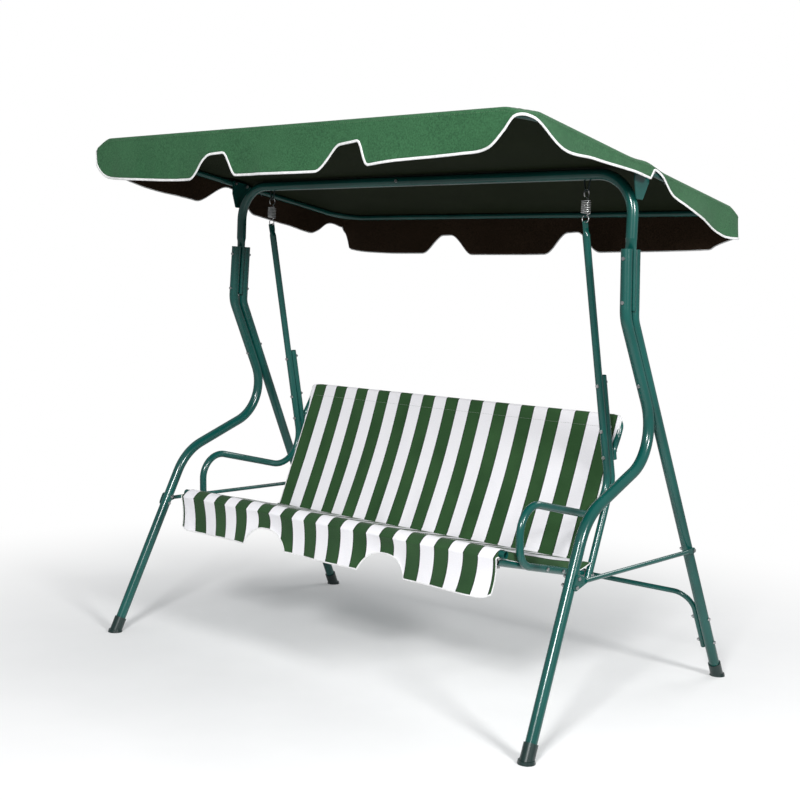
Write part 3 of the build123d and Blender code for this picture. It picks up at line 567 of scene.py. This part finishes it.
# A hem is a level line with arches cut up into it, as drops in metres below the roof's plane.
# A level point is (place along the edge, drop). An arch is (left foot, left shoulder, right
# shoulder, right foot, drop at the left shoulder, drop at the right shoulder).
LEVELS = {
    "front": (
        (-0.823, 0.033), (-0.806, 0.084), (-0.781, 0.110), (-0.741, 0.126), (-0.562, 0.137),
        (-0.369, 0.142), (-0.231, 0.135), (0.115, 0.136), (0.326, 0.127), (0.444, 0.117),
        (0.631, 0.108), (0.717, 0.098), (0.762, 0.061), (0.792, 0.028), (0.823, 0.022),
    ),
    "right": (
        (-0.600, 0.022), (-0.552, 0.028), (-0.439, 0.067), (-0.286, 0.053), (0.037, 0.035),
        (0.173, 0.060), (0.465, 0.100), (0.567, 0.090), (0.582, 0.078),
    ),
    "rear": (
        (-0.823, 0.046), (-0.797, 0.102), (-0.789, 0.126), (-0.616, 0.140), (-0.343, 0.140),
        (-0.218, 0.143), (0.064, 0.140), (0.415, 0.129), (0.723, 0.120), (0.742, 0.108), (0.823, 0.078),
    ),
    "left": (
        (-0.600, 0.033), (-0.559, 0.068), (-0.521, 0.090), (-0.364, 0.105), (-0.162, 0.101),
        (0.035, 0.094), (0.268, 0.095), (0.391, 0.101), (0.440, 0.080), (0.483, 0.050),
        (0.522, 0.040), (0.582, 0.046),
    ),
}
ARCHES = {
    "front": ((-0.363, -0.265, -0.216, -0.169, 0.073, 0.070), (0.145, 0.237, 0.299, 0.344, 0.067, 0.061)),
    "right": ((0.005, 0.026, 0.036, 0.142, 0.008, 0.006),),
    "rear": ((-0.426, -0.335, -0.301, -0.202, 0.074, 0.073), (0.107, 0.201, 0.240, 0.337, 0.066, 0.064)),
    "left": ((-0.174, -0.024, -0.001, 0.101, 0.024, 0.026),),
}


def along_level(level, spot):
    """Drop of a level line at a place: a smooth curve through its points, flat beyond its ends."""
    last = len(level) - 1
    spot = min(max(spot, level[0][0]), level[last][0])
    index = next(index for index in range(last) if spot <= level[index + 1][0])
    (x0, y0), (x1, y1) = level[index], level[index + 1]
    xa, ya = level[max(0, index - 1)]
    xb, yb = level[min(last, index + 2)]
    run = x1 - x0
    slope0 = (y1 - ya) / (x1 - xa)
    slope1 = (yb - y0) / (xb - x0)
    t = (spot - x0) / run
    return (
        y0 * (2 * t ** 3 - 3 * t ** 2 + 1) + slope0 * run * (t ** 3 - 2 * t ** 2 + t)
        + y1 * (3 * t ** 2 - 2 * t ** 3) + slope1 * run * (t ** 3 - t ** 2)
    )


def side_of(x, y):
    """Name of the roof edge nearest to a rim point."""
    if ROOF_X - abs(x) > min(abs(y - ROOF_FRONT), abs(y - ROOF_REAR)):
        return "front" if y < 0 else "rear"
    return "right" if x > 0 else "left"


def hem_drop(x, y, top):
    """Length of the valance below the roof's edge, whose height is top, at a place on the rim."""
    side = side_of(x, y)
    spot = x if side in ("front", "rear") else y
    below = along_level(LEVELS[side], spot)
    for left_foot, left_top, right_top, right_foot, left_drop, right_drop in ARCHES[side]:
        if left_foot < spot < right_foot:
            rise = smoothstep(left_foot, left_top, spot)
            fall = smoothstep(right_top, right_foot, spot)
            across = min(1.0, max(0.0, (spot - left_top) / (right_top - left_top)))
            below += (left_drop + (right_drop - left_drop) * across - below) * (rise * (1 - fall))
    return max(0.004, top - (ROOF_AT_BEAM + CLOTH_T - CANOPY_TAN * y - below))


def turn_point(x, y, out, top, angle):
    """Point and normal of the cloth where it turns down over the frame by an angle."""
    spot = Vector((x - out.x * EDGE_R, BEAM_Y + y - out.y * EDGE_R, top))
    spot += out * (EDGE_R * math.sin(angle)) - Vector((0, 0, EDGE_R * (1 - math.cos(angle))))
    return spot, out * math.sin(angle) + Vector((0, 0, math.cos(angle)))


def valance_point(x, y, out, top, drop, turn, share):
    """Point of the hanging cloth, from its turn at share 0 to its hem at 1, and how far down it is."""
    turned = EDGE_R * (1 - math.cos(turn))
    down = turned + max(0.002, drop - turned) * share
    along = x * abs(out.y) - y * abs(out.x)
    seed = 21 if out.y < -0.5 else 22 if out.x > 0.5 else 23 if out.y > 0.5 else 24     # by side
    ripple = 0.0065 * math.sin(along * 17 + 2.1 * wobble(seed, along * 2))
    ripple += 0.006 * wobble(seed + 5, along * 7)
    ripple += 0.0022 * wobble(seed + 9, along * 24, down * 9)
    lean = 0.004 + ripple * min(1.0, drop / 0.1)
    reach = EDGE_R * (math.sin(turn) - 1)
    return Vector((x, BEAM_Y + y, top - down)) + out * (lean * share ** 1.4 + reach), down


def build_cover():
    """The roof, its turn over the frame and the valance in one sheet, with its binding and seam."""
    stations = [rim(run) for run in rim_stations()]
    count = len(stations)
    middle_y = (ROOF_FRONT + ROOF_REAR) / 2
    verts = [Vector((0, BEAM_Y + middle_y, roof_z(0, middle_y)))]
    uvs = [(0.0, middle_y)]
    for ring in range(1, ROOF_RINGS + 1):
        share = 1 - (1 - ring / ROOF_RINGS) ** RING_CLOSING
        for x, y, out in stations:
            px = (x - out.x * EDGE_R) * share
            py = middle_y + (y - out.y * EDGE_R - middle_y) * share
            verts.append(Vector((px, BEAM_Y + py, roof_z(px, py))))
            uvs.append((px, py))

    outward = [out for _, _, out in stations]
    hem_path, seam_path, seam_normals = [], [], []
    for ring in range(1, TURN_STEPS + VALANCE_RINGS + 1):
        for x, y, out in stations:
            top = roof_z(x - out.x * EDGE_R, y - out.y * EDGE_R)
            drop = hem_drop(x, y, top)
            turn = min(math.pi / 2, max(0.35, (drop - 0.002) / EDGE_R))
            if ring <= TURN_STEPS:
                angle = turn * ring / TURN_STEPS
                spot, normal = turn_point(x, y, out, top, angle)
                down = EDGE_R * angle
            else:
                share = (ring - TURN_STEPS) / VALANCE_RINGS
                spot, down = valance_point(x, y, out, top, drop, turn, share)
            verts.append(spot)
            along_x = abs(out.y) > 0.5
            uvs.append((x if along_x else y, down + (10 if along_x else 20)))   # clear of the roof
            if ring == TURN_STEPS:
                seam_path.append(spot + out * 0.0006)
                seam_normals.append(normal)
            if ring == TURN_STEPS + VALANCE_RINGS:
                hem_path.append(spot + out * 0.0006)

    faces = [(0, 1 + index, 1 + (index + 1) % count) for index in range(count)]
    looks = [0] * count
    for ring in range(ROOF_RINGS + TURN_STEPS + VALANCE_RINGS - 1):
        low = 1 + ring * count
        for index in range(count):
            nxt = (index + 1) % count
            faces.append((low + index, low + count + index, low + count + nxt, low + nxt))
            looks.append(0 if ring < ROOF_RINGS + 1 else 1)
    # faces of look 0 and 1 share the outer cloth; their inner sides take the last two materials, darkened
    # as painted shade
    cloths = [CANOPY_OUT, CANOPY_OUT, CANOPY_IN_SHADED, VALANCE_IN_SHADED]
    cover = new_mesh("canopy_cloth", verts, faces, uvs, cloths, looks)
    thicken(cover, CLOTH_T, inner_material=2, offset=-1.0)
    place(cover, "stand", "canopy_fabric")
    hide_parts("canopy_cover")

    binding = strip_tube("canopy_white_binding", hem_path, outward, 0.0072, 0.0030, PIPING, closed=True)
    place(binding, "stand", "canopy_fabric")
    seam = stitch_row("canopy_seam_stitches", seam_path + seam_path[:1], seam_normals + seam_normals[:1],
                      THREAD, 0.0045, 0.003)
    place(seam, "stand", "canopy_fabric")

    area = ROOF_WIDE * ROOF_DEEP
    for (x, y, out), (next_x, next_y, _) in zip(stations, stations[1:] + stations[:1]):
        top = roof_z(x - out.x * EDGE_R, y - out.y * EDGE_R)
        area += math.hypot(next_x - x, next_y - y) * hem_drop(x, y, top)


build_cover()


# ---- seat sling: skirt, seat and rear wrap ----
SLING_T = 0.0012
SEAT_SLOPE = 0.2136
BAR_R = 0.011
BAR_DROP = 0.0132            # bar's middle below the sling's line
FRONT_BAR = (BEAM_Y - 0.338, 0.495 - BAR_DROP)
REAR_BAR = (BEAM_Y + 0.090, 0.495 - 0.428 * SEAT_SLOPE - BAR_DROP)
SEAT_HALF = 0.627
SKIRT_HALF = 0.634
WRAP_HALF = 0.596            # the rear wrap stops short of the rails
REAR_TAIL = 0.026            # cloth past the rear bar
FLAP_HALF = 0.650            # half the flat width, with the flaps that fold down at the sides
FLAP_FROM = 0.6215
FLAP_R = 0.005
KINK_Z = 0.4740              # where the loose roll over the front bar ends and the skirt hangs
KINK_OUT = 0.018             # the roll's reach in front of the bar
SKIRT_Z = 0.3604
SKIRT_DROP = KINK_Z - SKIRT_Z
SKIRT_ARCHES = (-0.240, 0.240)
SKIRT_ARCH_HALF = 0.085
SKIRT_ARCH_RISE = 0.062
SKIRT_CORNER = 0.03
FLAP_TOP_Z = FRONT_BAR[1] + 0.012
SLING_COLUMNS = 320
STITCH_IN = 6                # a stitched row starts and ends this many columns from the edges


def seat_profile():
    """Centre line of the sling from the skirt's hem to the rear tail: (y, z, zone), and lengths."""
    wrap = BAR_R + SLING_T
    up = Vector((SEAT_SLOPE, 1)).normalized()
    points = []
    fy, fz = FRONT_BAR
    ry, rz = REAR_BAR
    for step in range(29):
        share = step / 28
        points.append((fy - wrap - KINK_OUT * share ** 2, SKIRT_Z + SKIRT_DROP * share, "skirt"))
    on_bar = Vector((fy + 0.006, fz + wrap * 1.03))
    kink = Vector((fy - wrap - KINK_OUT, KINK_Z))
    knee = Vector((fy - 0.012, fz + 0.0145))
    for step in range(1, 13):
        t = step / 12
        spot = kink * (1 - t) ** 2 + knee * (2 * t * (1 - t)) + on_bar * t ** 2
        points.append((spot.x, spot.y, "bend"))
    at_rear = Vector((ry + wrap * up.x, rz + wrap * up.y))
    for step in range(1, 45):
        spot = on_bar.lerp(at_rear, step / 44)
        points.append((spot.x, spot.y, "seat"))
    start = math.atan2(up.y, up.x)
    for step in range(1, 11):
        angle = start - math.pi * step / 10
        points.append((ry + wrap * math.cos(angle), rz + wrap * math.sin(angle), "rear"))
    last = Vector(points[-1][:2])
    direction = Vector((-1, SEAT_SLOPE)).normalized()
    for step in range(1, 5):
        spot = last + direction * (REAR_TAIL * step / 4)
        points.append((spot.x, spot.y, "rear"))
    lengths = [0.0]
    for p, q in zip(points, points[1:]):
        lengths.append(lengths[-1] + math.hypot(q[0] - p[0], q[1] - p[1]))
    return points, lengths


def skirt_share(x):
    """How much of the skirt is left below the kink, from 0 to 1, at a place along it."""
    drop = SKIRT_DROP + 0.003 * wobble(31, x * 6)
    for centre in SKIRT_ARCHES:
        offset = (x - centre) / SKIRT_ARCH_HALF
        if abs(offset) < 1:
            rise = (1 - abs(offset) ** 2.6) ** 0.75
            drop = min(drop, SKIRT_DROP - SKIRT_ARCH_RISE * rise)
    corner = (SKIRT_HALF - abs(x)) / SKIRT_CORNER
    if corner < 1:
        drop = min(drop, SKIRT_DROP - 0.012 * (1 - max(0.0, corner)) ** 2)
    return drop / SKIRT_DROP


def hanging_point(x, y, z):
    """Where a point of the skirt lies, with its ripples and its lean."""
    hang = max(0.0, (KINK_Z - z) / SKIRT_DROP) ** 1.3
    ripple = 0.009 * math.sin(x * 15 + 1.5 * wobble(41, x * 2)) + 0.007 * wobble(42, x * 8)
    ripple += 0.0022 * wobble(45, x * 26, z * 7)
    for centre in SKIRT_ARCHES:
        ripple += 0.008 * math.exp(-((x - centre) / 0.07) ** 2)
    shift = 0.004 * wobble(43, x * 6, z * 6) - 0.010 - 0.0125 * (x + 0.64)
    return Vector((x + shift * hang, y - (0.004 + ripple) * hang, z))


def sagging_point(x, y, z, share):
    """Where a point of the seat lies, share of the way from its front to its rear."""
    middle = math.sin(math.pi * share)
    sag = 0.005 * middle * (1 - min(1.0, abs(x) / SEAT_HALF) ** 4)
    droop = 0.006 * smoothstep(0.560, SEAT_HALF, abs(x)) * middle ** 0.6
    crease = 0.0018 * wobble(44, x * 7, y * 10) * middle
    return Vector((x, y, z - (sag + droop) + crease))


def fold_share(zone, z, share):
    """How far the side flaps are folded down, from 0 to 1, at a place on the sling's profile."""
    if zone == "bend":
        return smoothstep(KINK_Z, FLAP_TOP_Z, z)
    if zone == "seat":
        return smoothstep(0.0, 0.05, 1 - share)
    return 0.0


def sling_half(zone, z):
    """Half the sling's flat width at a place on its profile."""
    if zone == "skirt":
        return SKIRT_HALF
    if zone == "bend":
        return SKIRT_HALF + (FLAP_HALF - SKIRT_HALF) * smoothstep(KINK_Z, FLAP_TOP_Z, z)
    if zone == "seat":
        return FLAP_HALF
    return WRAP_HALF if z < REAR_BAR[1] else SEAT_HALF


def folded(x, folding):
    """A flat place across the sling, moved in and down where the side flap folds over the rail."""
    over = max(0.0, abs(x) - FLAP_FROM) * folding
    turn = min(math.pi / 2, over / FLAP_R)
    tucked = over - FLAP_R * math.sin(turn)
    down = FLAP_R * (1 - math.cos(turn)) + max(0.0, over - FLAP_R * math.pi / 2) * 0.97
    return x - math.copysign(tucked, x), down


def stitched_line(verts, row, width, lift):
    """Every fourth point along a grid's row, lifted clear of the cloth."""
    return [p + lift for p in verts[row * width + STITCH_IN:(row + 1) * width - STITCH_IN:4]]


def on_sling(obj):
    """Puts a piece of the seat's or the back's sling on the seat."""
    return place(obj, "seat", "striped_fabric")


def edge_bindings(name, left, right):
    """White bindings along a sling's two side edges."""
    pieces = []
    for word, path in (("left", left), ("right", right)):
        label = f"{name}_edge_binding_{word}"
        pieces.append(on_sling(strip_tube(label, path, edge_normals(path), 0.0042, 0.0024, PIPING)))
    return pieces


def build_seat():
    """The seat sling with its bindings and two stitched rows."""
    points, lengths = seat_profile()
    zones = [zone for _, _, zone in points]
    kink_length = lengths[zones.index("bend") - 1]
    first_seat = zones.index("seat")
    last_seat = zones.index("rear") - 1
    width = SLING_COLUMNS + 1
    verts, uvs = [], []
    for row, (y, z, zone) in enumerate(points):
        half = sling_half(zone, z)
        share = (row - first_seat) / (last_seat - first_seat) if zone == "seat" else 0.0
        for column in range(width):
            x = -half + 2 * half * column / SLING_COLUMNS
            if zone == "skirt":
                z_here = KINK_Z - (KINK_Z - z) * skirt_share(x)
                verts.append(hanging_point(x, y, z_here))
                uvs.append((x, kink_length - (KINK_Z - z_here)))
                continue
            folded_x, down = folded(x, fold_share(zone, z, share))
            if zone == "seat":
                verts.append(sagging_point(folded_x, y, z - down, share))
            else:
                verts.append(Vector((folded_x, y, z - down)))
            uvs.append((x, lengths[row]))
    faces = grid_faces(len(points), width)
    seat = new_mesh("seat_cloth", verts, faces, uvs, [SEAT_STRIPES])
    thicken(seat, SLING_T)
    on_sling(seat)
    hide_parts("seat_sling")

    hem = strip_tube("seat_skirt_binding", verts[:width], [Vector((0, -1, 0))] * width,
                     0.0048, 0.0026, PIPING)
    edged = verts[:(last_seat + 6) * width]
    extras = [on_sling(hem)] + edge_bindings("seat", edged[::width], edged[SLING_COLUMNS::width])
    for index, row in enumerate((first_seat + 2, last_seat - 3)):
        line = stitched_line(verts, row, width, Vector((0, 0.0002, 0.0010)))
        normals = [Vector((0, 0.2, 0.98))] * len(line)
        extras.append(on_sling(stitch_row(f"seat_stitches_{index}", line, normals, THREAD_WHITE)))


build_seat()


# ---- back sling ----
BACK_TOP = (BEAM_Y + 0.256, 0.817)
BACK_SLOPE = 0.4005
BACK_HALF = 0.627
BACK_BOTTOM_Z = 0.409
BACK_BAR_R = 0.0095
BACK_SLEEVE = 0.034          # the sleeve's length behind the hoop
BACK_TURN = 0.034            # cloth over the hoop
BACK_SHOULDER = 0.013        # how much wider the cloth is at its top corners
BACK_ROWS = 52
BACK_COLUMNS = 300


def back_profile(along, out):
    """Centre line of the back cloth from its bottom hem over the hoop to the sleeve's edge."""
    wrap = BACK_BAR_R + SLING_T
    top = Vector(BACK_TOP)
    front_edge = top + out * wrap
    run = (front_edge.y - BACK_BOTTOM_Z) / along.y
    profile = []
    for step in range(BACK_ROWS + 1):
        share = step / BACK_ROWS
        profile.append((front_edge - along * run * (1 - share), "front", share))
    for step in range(1, 11):
        angle = math.pi * step / 10
        spot = top + out * (wrap * math.cos(angle)) + along * (wrap * math.sin(angle))
        profile.append((spot, "bend", 1.0))
    rear_start = top - out * wrap
    for step in range(1, 7):
        profile.append((rear_start - along * (BACK_SLEEVE * step / 6), "rear", step / 6))
    return profile


def back_half(zone, from_top, past_edge):
    """Half the back cloth's width: wider at the top corners, gathered in behind the hoop."""
    if zone == "bend":
        return BACK_HALF + BACK_SHOULDER - 0.040 * smoothstep(0.0, 0.5, past_edge / BACK_TURN)
    if zone == "rear":
        return BACK_HALF - 0.027
    return BACK_HALF + BACK_SHOULDER * (1 - smoothstep(0.03, 0.16, from_top))


def build_back():
    """The back sling with its bindings and the sleeve's stitched row."""
    along = Vector((BACK_SLOPE, 1)).normalized()
    out = Vector((-1, BACK_SLOPE)).normalized()
    profile = back_profile(along, out)
    lengths = lengths_along([spot for spot, _, _ in profile])
    total = lengths[-1]
    width = BACK_COLUMNS + 1
    verts, uvs = [], []
    for row, (spot, zone, share) in enumerate(profile):
        from_top = max(0.0, total - BACK_SLEEVE - BACK_TURN - lengths[row])
        half = back_half(zone, from_top, lengths[row] - lengths[BACK_ROWS])
        for column in range(width):
            u = -1 + 2 * column / BACK_COLUMNS
            x = u * half
            y, z = spot.x, spot.y
            if zone == "front":
                middle = math.sin(math.pi * share)
                belly = 0.010 * middle * (1 - abs(u) ** 4)
                crease = 0.0016 * wobble(51, x * 8, z * 5) * middle
                tug = 0.0022 * math.sin(x * 31 + 3 * wobble(52, x * 2)) * (1 - share) ** 3
                y -= out.x * (belly - crease - tug)
                z -= out.y * (belly - crease - tug)
            verts.append(Vector((x, y, z)))
            uvs.append((x, lengths[row]))
    faces = grid_faces(len(profile), width)
    back = new_mesh("back_cloth", verts, faces, uvs, [BACK_STRIPES])
    thicken(back, SLING_T)
    on_sling(back)
    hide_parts("back_sling")

    facing = Vector((0, out.x, out.y))
    extras = edge_bindings("back", verts[::width], verts[BACK_COLUMNS::width])
    bottom = verts[0:width:2]
    hem = strip_tube("back_bottom_binding", bottom, [facing] * len(bottom),
                     0.009, 0.0026, BACK_STRIPES, start=-BACK_HALF)
    extras.append(on_sling(hem))
    line = stitched_line(verts, BACK_ROWS - 4, width, facing * 0.0010)
    seam = stitch_row("back_sleeve_stitches", line, [facing] * len(line), THREAD_WHITE)
    extras.append(on_sling(seam))


build_back()


# ---- springs: one bent wire each, stretching between hook and hanger ----
HOOK_X = 0.629
SPRING_TOP = 1.4783
SPRING_HOLE = 1.384
LOW_LOOP_R = 0.0105
HIGH_LOOP_R = 0.0125
COIL_R = 0.0125
COIL_HIGH = 1.446
COIL_LOW = 1.410
COIL_TURNS = 7
TURN_POINTS = 28
WIRE_R = 0.0016


def lead_to(points, target):
    """Three points that lead a wire from its last point towards a target."""
    start = points[-1]
    for step in range(1, 4):
        points.append(start.lerp(target, smoothstep(0, 1, step / 4)))


def end_loop(middle, across, radius, low, high):
    """Points round a spring's end loop, between two angles in degrees from its lowest point."""
    angles = [math.radians(degrees) for degrees in range(low, high, 12)]
    return [middle + (across * math.sin(a) - Vector((0, 0, 1)) * math.cos(a)) * radius for a in angles]


def spring_path(side):
    """Wire centre line: lower loop, coil, upper loop."""
    centre = Vector((side * HOOK_X, BEAM_Y, 0))
    low_middle = centre + Vector((0, 0, SPRING_HOLE + LOW_LOOP_R))
    high_middle = centre + Vector((0, 0, SPRING_TOP - HIGH_LOOP_R))
    points = end_loop(low_middle, Vector((1, 0, 0)), LOW_LOOP_R, -150, 166)
    lead_to(points, centre + Vector((COIL_R, 0, COIL_LOW)))
    steps = COIL_TURNS * TURN_POINTS
    for step in range(steps + 1):
        a = 2 * math.pi * step / TURN_POINTS
        z = COIL_LOW + (COIL_HIGH - COIL_LOW) * step / steps
        points.append(centre + Vector((COIL_R * math.cos(a), COIL_R * math.sin(a), z)))
    ring = end_loop(high_middle, Vector((0, 1, 0)), HIGH_LOOP_R, 14, 330)
    lead_to(points, ring[0])
    return points + ring


def wire_tube(name, paths, radius, material, ring=10):
    """Round wires along several paths, in one mesh."""
    verts, faces, uvs = [], [], []
    for path in paths:
        first = len(verts)
        normal = Vector((0.3, 1, 0.2)).normalized()
        travelled = 0.0
        for index, spot in enumerate(path):
            ahead = path[min(len(path) - 1, index + 1)]
            behind = path[max(0, index - 1)]
            run = (ahead - behind).normalized()
            normal = (normal - run * normal.dot(run)).normalized()
            across = run.cross(normal)
            travelled += (spot - behind).length
            for step in range(ring):
                angle = 2 * math.pi * step / ring
                verts.append(spot + (normal * math.cos(angle) + across * math.sin(angle)) * radius)
                uvs.append((travelled, step / ring * 2 * math.pi * radius))
        faces += tube_faces(first, len(path), ring)
    return new_mesh(name, verts, faces, uvs, [material])


def build_springs():
    """One bent wire for each spring, in place of its CAD node, baked where it hangs."""
    for word, side in SIDES.items():
        spring = wire_tube(f"spring_wire_{word}", [spring_path(side)], WIRE_R, ZINC)
        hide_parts(f"spring_{word}")
        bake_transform(spring)


build_springs()


# ---- tie cords: laid rope wound round the rails' rear ends ----
WINDINGS = 2.6
WINDING_R = 0.0129
WINDING_RUN = 0.0104         # how far the windings spread along the rail
STRAND_OUT = 0.00085         # each strand's middle from the cord's
STRAND_R = 0.00105
STRAND_TWISTS = 34
KNOT_OUT = 0.0180
KNOT_SIZE = 0.0019


def winding_strand(centre, across, rise, axis, phase):
    """One of the cord's two strands, twisted round its middle line."""
    coil = []
    for step in range(181):
        share = step / 180
        angle = 2 * math.pi * WINDINGS * share + math.pi * 0.3
        out = across * math.cos(angle) + rise * math.sin(angle)
        twist = 2 * math.pi * share * STRAND_TWISTS + phase
        spot = centre + axis * (WINDING_RUN * (share - 0.5)) + out * WINDING_R
        coil.append(spot + (out * math.cos(twist) + axis * math.sin(twist)) * STRAND_OUT)
    return coil


def knot_strand(knot_at, shift):
    """A trefoil: the overhand knot of one strand."""
    knot = []
    for step in range(91):
        t = 2 * math.pi * step / 90
        loop = Vector((
            math.sin(t) + 2 * math.sin(2 * t),
            math.cos(t) - 2 * math.cos(2 * t),
            -math.sin(3 * t),
        ))
        knot.append(knot_at + loop * KNOT_SIZE + shift)
    return knot


def build_cords():
    """Two windings of two-strand cord, each with its knot."""
    low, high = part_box("tie_cords")
    rail_x = high[0] - 0.0144
    axis = Vector((0, 1, -SEAT_SLOPE)).normalized()
    strands = []
    for side in SIDES.values():
        centre = Vector((side * rail_x, (low[1] + high[1]) / 2, (low[2] + high[2]) / 2))
        across = Vector((side, 0, 0))
        rise = across.cross(axis) * side
        knot_at = centre + (across * 0.62 + rise * 0.78) * KNOT_OUT
        for phase in (0.0, math.pi):
            strands.append(winding_strand(centre, across, rise, axis, phase))
            strands.append(knot_strand(knot_at, across * (0.0006 * math.cos(phase))))
    cords = wire_tube("tie_cord_windings", strands, STRAND_R, CORD, 8)
    place(cords, "seat", "white_cord")
    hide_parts("tie_cords")


build_cords()


# ---- floor, backdrop and light ----
FLOOR_HALF = 30.0
FLOOR_Z = -0.0005
FADE_FROM = 0.5              # the floor turns to plain white between these distances
FADE_TO = 2.6
WHITE_LIT = 0.35             # strength of the white floor for light, and what the camera sees more
WHITE_SEEN = 0.65
SKY_COLOUR = (0.93, 0.97, 1.0, 1)
SKY_STRENGTH = 0.34


def build_floor():
    """A pale floor with shadows near the bench, plain white further out."""
    n = Nodes("pale_floor")
    at = n.coords()
    grain = n.noise(at, 3.0, 4.0)
    tint = n.ramp(grain, [(0.3, (0.9, 0.9, 0.9)), (0.7, (0.93, 0.93, 0.93))])
    far = n.add("ShaderNodeVectorMath", operation="LENGTH")
    n.link(at, far.inputs[0])
    fade = n.add("ShaderNodeMapRange", interpolation_type="SMOOTHSTEP")
    fade.inputs["From Min"].default_value = FADE_FROM
    fade.inputs["From Max"].default_value = FADE_TO
    n.link(far.outputs["Value"], fade.inputs["Value"])
    n.finish(tint, 0.95, Specular_IOR_Level=0.0)
    white = n.add("ShaderNodeEmission")
    seen = n.add("ShaderNodeLightPath").outputs["Is Camera Ray"]
    n.link(n.math("MULTIPLY_ADD", seen, WHITE_SEEN, WHITE_LIT), white.inputs["Strength"])
    blend = n.add("ShaderNodeMixShader")
    n.link(fade.outputs["Result"], blend.inputs[0])
    n.link(n.bsdf.outputs[0], blend.inputs[1])
    n.link(white.outputs[0], blend.inputs[2])
    n.link(blend.outputs[0], n.tree.nodes["Material Output"].inputs["Surface"])
    corners = [(x * FLOOR_HALF, y * FLOOR_HALF, 0) for x, y in ((-1, -1), (1, -1), (1, 1), (-1, 1))]
    floor = new_mesh("floor", corners, [(0, 1, 2, 3)], None, [n.mat])
    floor.location.z = FLOOR_Z


def build_world():
    """White to the camera, and a weaker, slightly blue sky for everything that it lights."""
    world = bpy.data.worlds.new("studio")
    bpy.context.scene.world = world
    world.use_nodes = True
    tree = world.node_tree
    shown = tree.nodes["Background"]
    shown.inputs[0].default_value = (1, 1, 1, 1)
    shown.inputs[1].default_value = 1.0
    lit = tree.nodes.new("ShaderNodeBackground")
    lit.inputs[0].default_value = SKY_COLOUR
    lit.inputs[1].default_value = SKY_STRENGTH
    path = tree.nodes.new("ShaderNodeLightPath")
    choose = tree.nodes.new("ShaderNodeMixShader")
    tree.links.new(path.outputs["Is Camera Ray"], choose.inputs[0])
    tree.links.new(lit.outputs[0], choose.inputs[1])
    tree.links.new(shown.outputs[0], choose.inputs[2])
    tree.links.new(choose.outputs[0], tree.nodes["World Output"].inputs["Surface"])


def area_light(name, at, aim, size_x, size_y, power):
    """A rectangular lamp at a place, turned to what it lights."""
    data = bpy.data.lights.new(name, "AREA")
    data.shape = "RECTANGLE"
    data.size, data.size_y, data.energy = size_x, size_y, power
    lamp = bpy.data.objects.new(name, data)
    lamp.location = at
    lamp.rotation_euler = (Vector(aim) - Vector(at)).to_track_quat("-Z", "Y").to_euler()
    bpy.context.scene.collection.objects.link(lamp)


build_floor()
build_world()
area_light("key", (2.2, -4.4, 3.0), (0, 0, 0.8), 0.9, 0.9, 200)
area_light("side", (4.6, -1.2, 2.7), (0, 0, 1.0), 0.9, 0.9, 150)
area_light("rim", (1.0, 4.0, 3.2), (0, 0, 1.0), 2.4, 1.0, 40)

scene_view = bpy.context.scene.view_settings
scene_view.view_transform = "Standard"
scene_view.look = "None"
